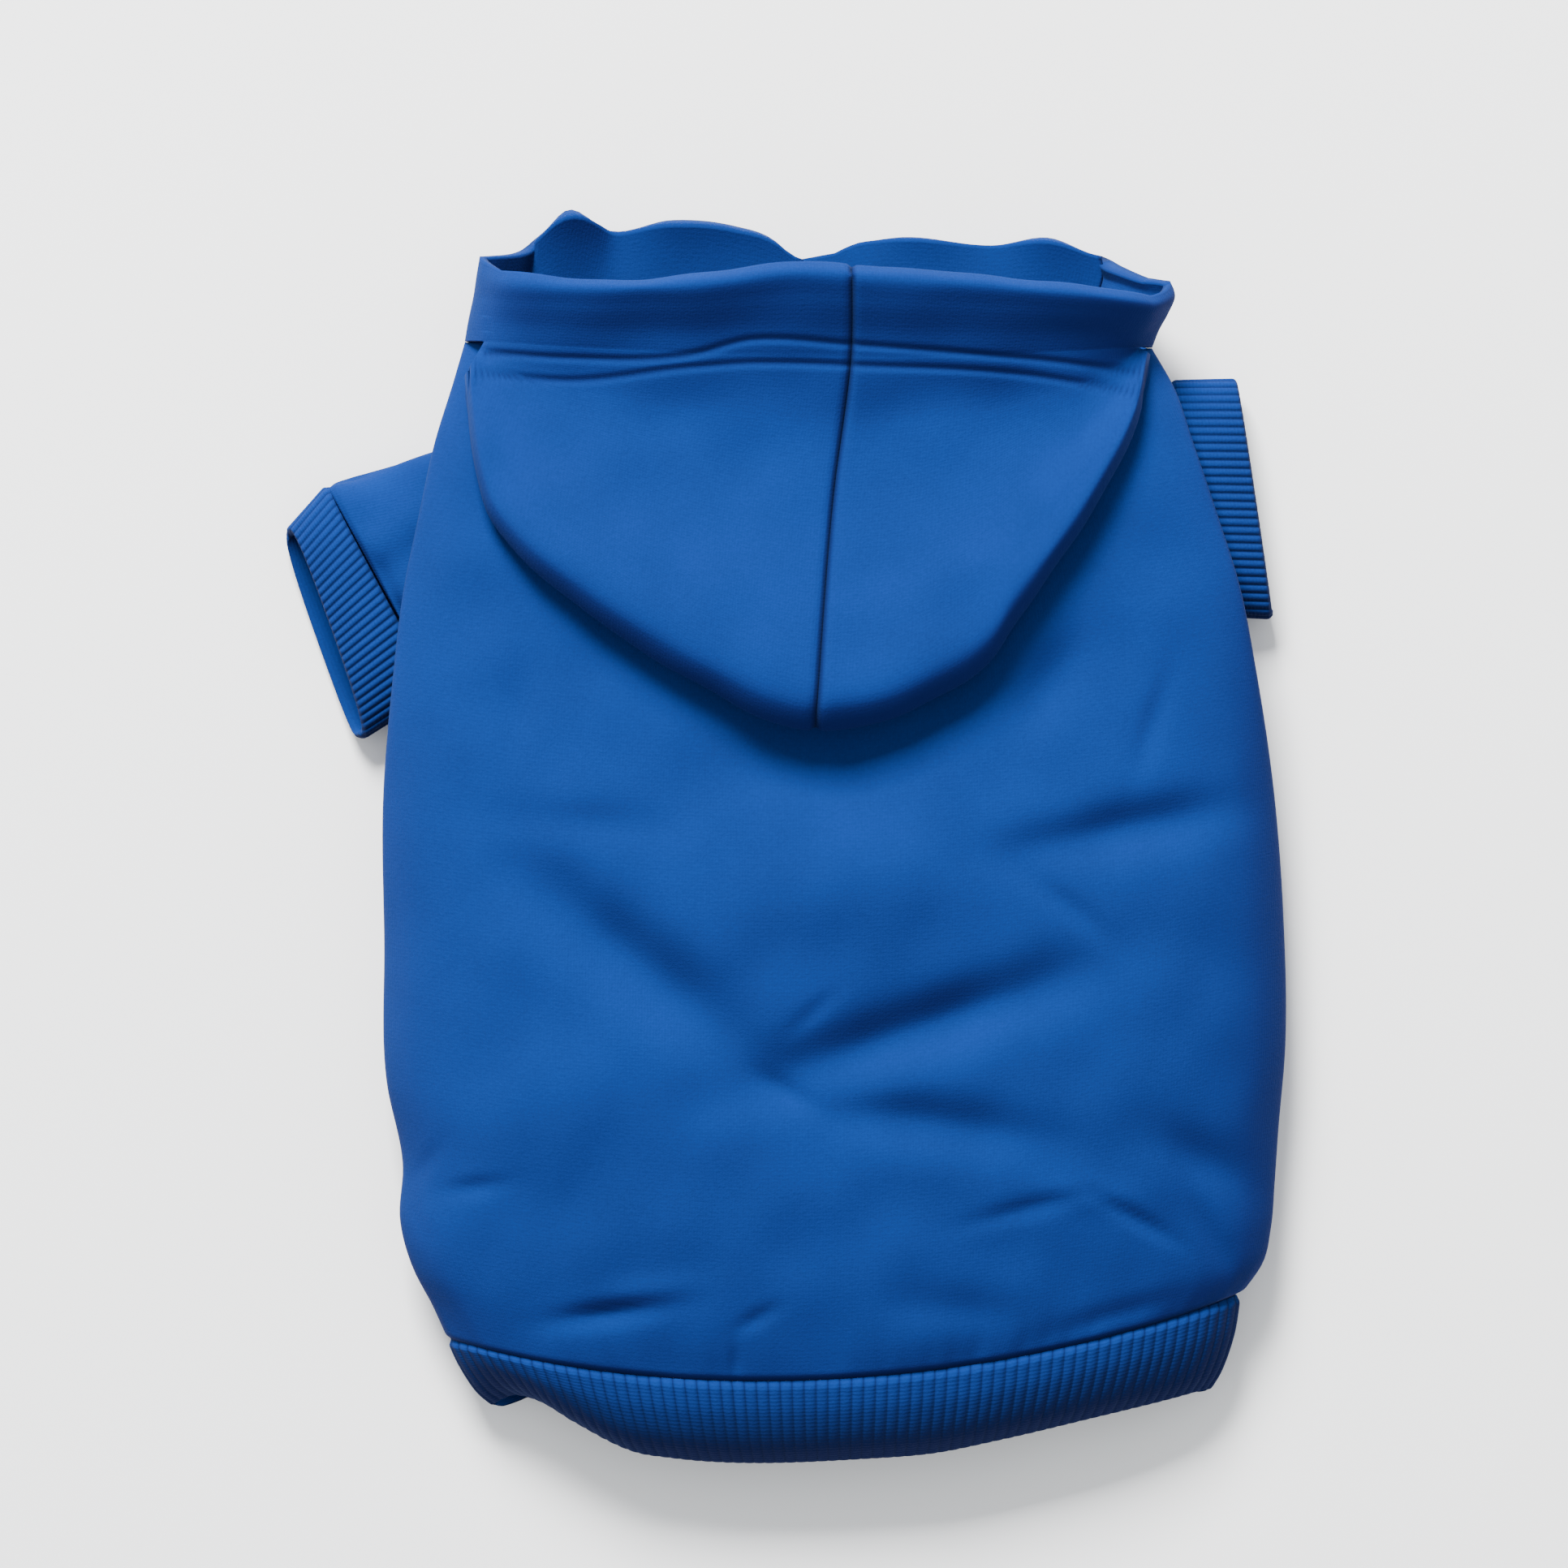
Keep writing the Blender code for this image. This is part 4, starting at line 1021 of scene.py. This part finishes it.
hood_low = np.concatenate([np.linspace(THROAT, FOOT, 36)[:-1], np.linspace(FOOT, RIM, 16)[:-1]])
hood_rise = np.linspace(RIM, CORNER, 9)
hood_top = even_places(body_rings([1.0]), CORNER, TOP, 70)[1:]
left_places = np.concatenate([hood_low, hood_rise, hood_top])
right_low = np.concatenate([[RING + THROAT], np.linspace(RING, RING - FOOT, 36)[:-1]])
half_places = {"left": left_places, "right": np.concatenate([right_low, RING - left_places[35:]])}
hem_at = np.concatenate([np.linspace(0, 0.35, 24)[:-1], np.linspace(0.35, 1, 18)])
pouch_at = np.concatenate([np.linspace(0, 1, 44)[:-1], np.linspace(1, 4, 30)[:-1], np.linspace(4, 5, 13)])
pouch_at = np.concatenate([pouch_at, np.linspace(5, 6, 13)[1:], np.linspace(6, 9, 55)[1:]])
HOOD_TOP_SIDE = 0.032
HOOD_CLOTH = 0.2
HEM_CLOTH = 0.03

# The two lines of hem stitching, as metres along the body at places across it.
HEM_LINES = table(
    "x first second",
    [
        (-0.0994, 0.1557, 0.1493),
        (-0.0685, 0.1531, 0.1460),
        (-0.0299, 0.1539, 0.1500),
        (-0.0118, 0.1583, 0.1512),
        (0.0203, 0.1570, 0.1505),
        (0.0731, 0.1531, 0.1480),
        (0.1118, 0.1493, 0.1428),
    ],
)


def hem_line_gap(points):
    """The distance, seen from above, to the nearer of the two lines of hem stitching."""
    x, y = points[:, 0] + SHIFT[0], points[:, 1] + SHIFT[1]
    lines = [between(x, HEM_LINES["x"], HEM_LINES[name]) for name in ("first", "second")]
    return np.minimum(abs(y - lines[0]), abs(y - lines[1]))


def hood_raised(points, places):
    """The stitches and the centre seam draw the hood in, and its upper side lies in soft waves."""
    above = points[:, 2] > HOOD_TOP_SIDE
    stitched = groove(hem_line_gap(points), 0.0012, 0.0006) * above
    centre = groove(places[:, 0].max() - places[:, 0], 0.0011, 0.0013)
    wave = 0.0006 * ripple(points[:, 0], points[:, 1], 0.050, 31)
    return stitched + centre + wave * above


def hood_seam_and_stitch_shade(points, places):
    """The shade along the stitches and in the centre seam."""
    above = points[:, 2] > HOOD_TOP_SIDE
    line = 0.5 * np.exp(-((hem_line_gap(points) / 0.0008) ** 2)) * above
    seam = 0.85 * np.exp(-(((places[:, 0].max() - places[:, 0]) / 0.0009) ** 2))
    return np.maximum(line, seam)


def hood_wall(points):
    """Two layers of fleece in the turned hem, and one elsewhere."""
    side = abs(points[:, 0]) / BODY_HALF_WIDTH
    past = np.clip((points[:, 1] - BODY_LENGTH - 0.1 * HEM_REACH) / 0.002, 0, 1)
    return FLEECE * (1 + past * np.clip((0.75 - side) / 0.12, 0, 1))


for side in ("left", "right"):
    places = half_places[side]
    hem = hem_points(hem_at, places)
    inner = np.arange(len(hood_low) + len(hood_rise) - 1, len(places))
    pouch = lean(pouch_points(places[inner], hem[0][inner], pouch_at), places[inner])
    hem = lean(hem, places)
    run = np.concatenate([[0], np.cumsum(np.linalg.norm(np.diff(hem[0], axis=0), axis=1))])
    hem_cloth = np.stack(np.broadcast_arrays(run[None], HOOD_CLOTH + hem_at[:, None] * HEM_CLOTH), axis=-1)
    down = np.concatenate([[0], np.cumsum(np.linalg.norm(np.diff(pouch[:, -1], axis=0), axis=1))])
    pouch_cloth = np.stack(np.broadcast_arrays(run[inner][None], HOOD_CLOTH - down[:, None]), axis=-1)
    half = len(pouch_at) // 2
    blend = np.linspace(0, 1, 5)[None, :, None]
    corner = pouch[: half + 1, :1] * (1 - blend) + pouch[half:, :1][::-1] * blend
    corner_cloth = pouch_cloth[: half + 1, :1] + 0 * blend
    piece = cloth_mesh(
        f"hood_{side}_fleece",
        [(hem, hem_cloth, False), (pouch, pouch_cloth, False), (corner, corner_cloth, False)],
        hood_wall,
        hood_raised,
        hood_seam_and_stitch_shade,
    )
    piece.data.materials.append(fleece)
    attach(piece, "root")
    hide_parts(f"hood_{side}")
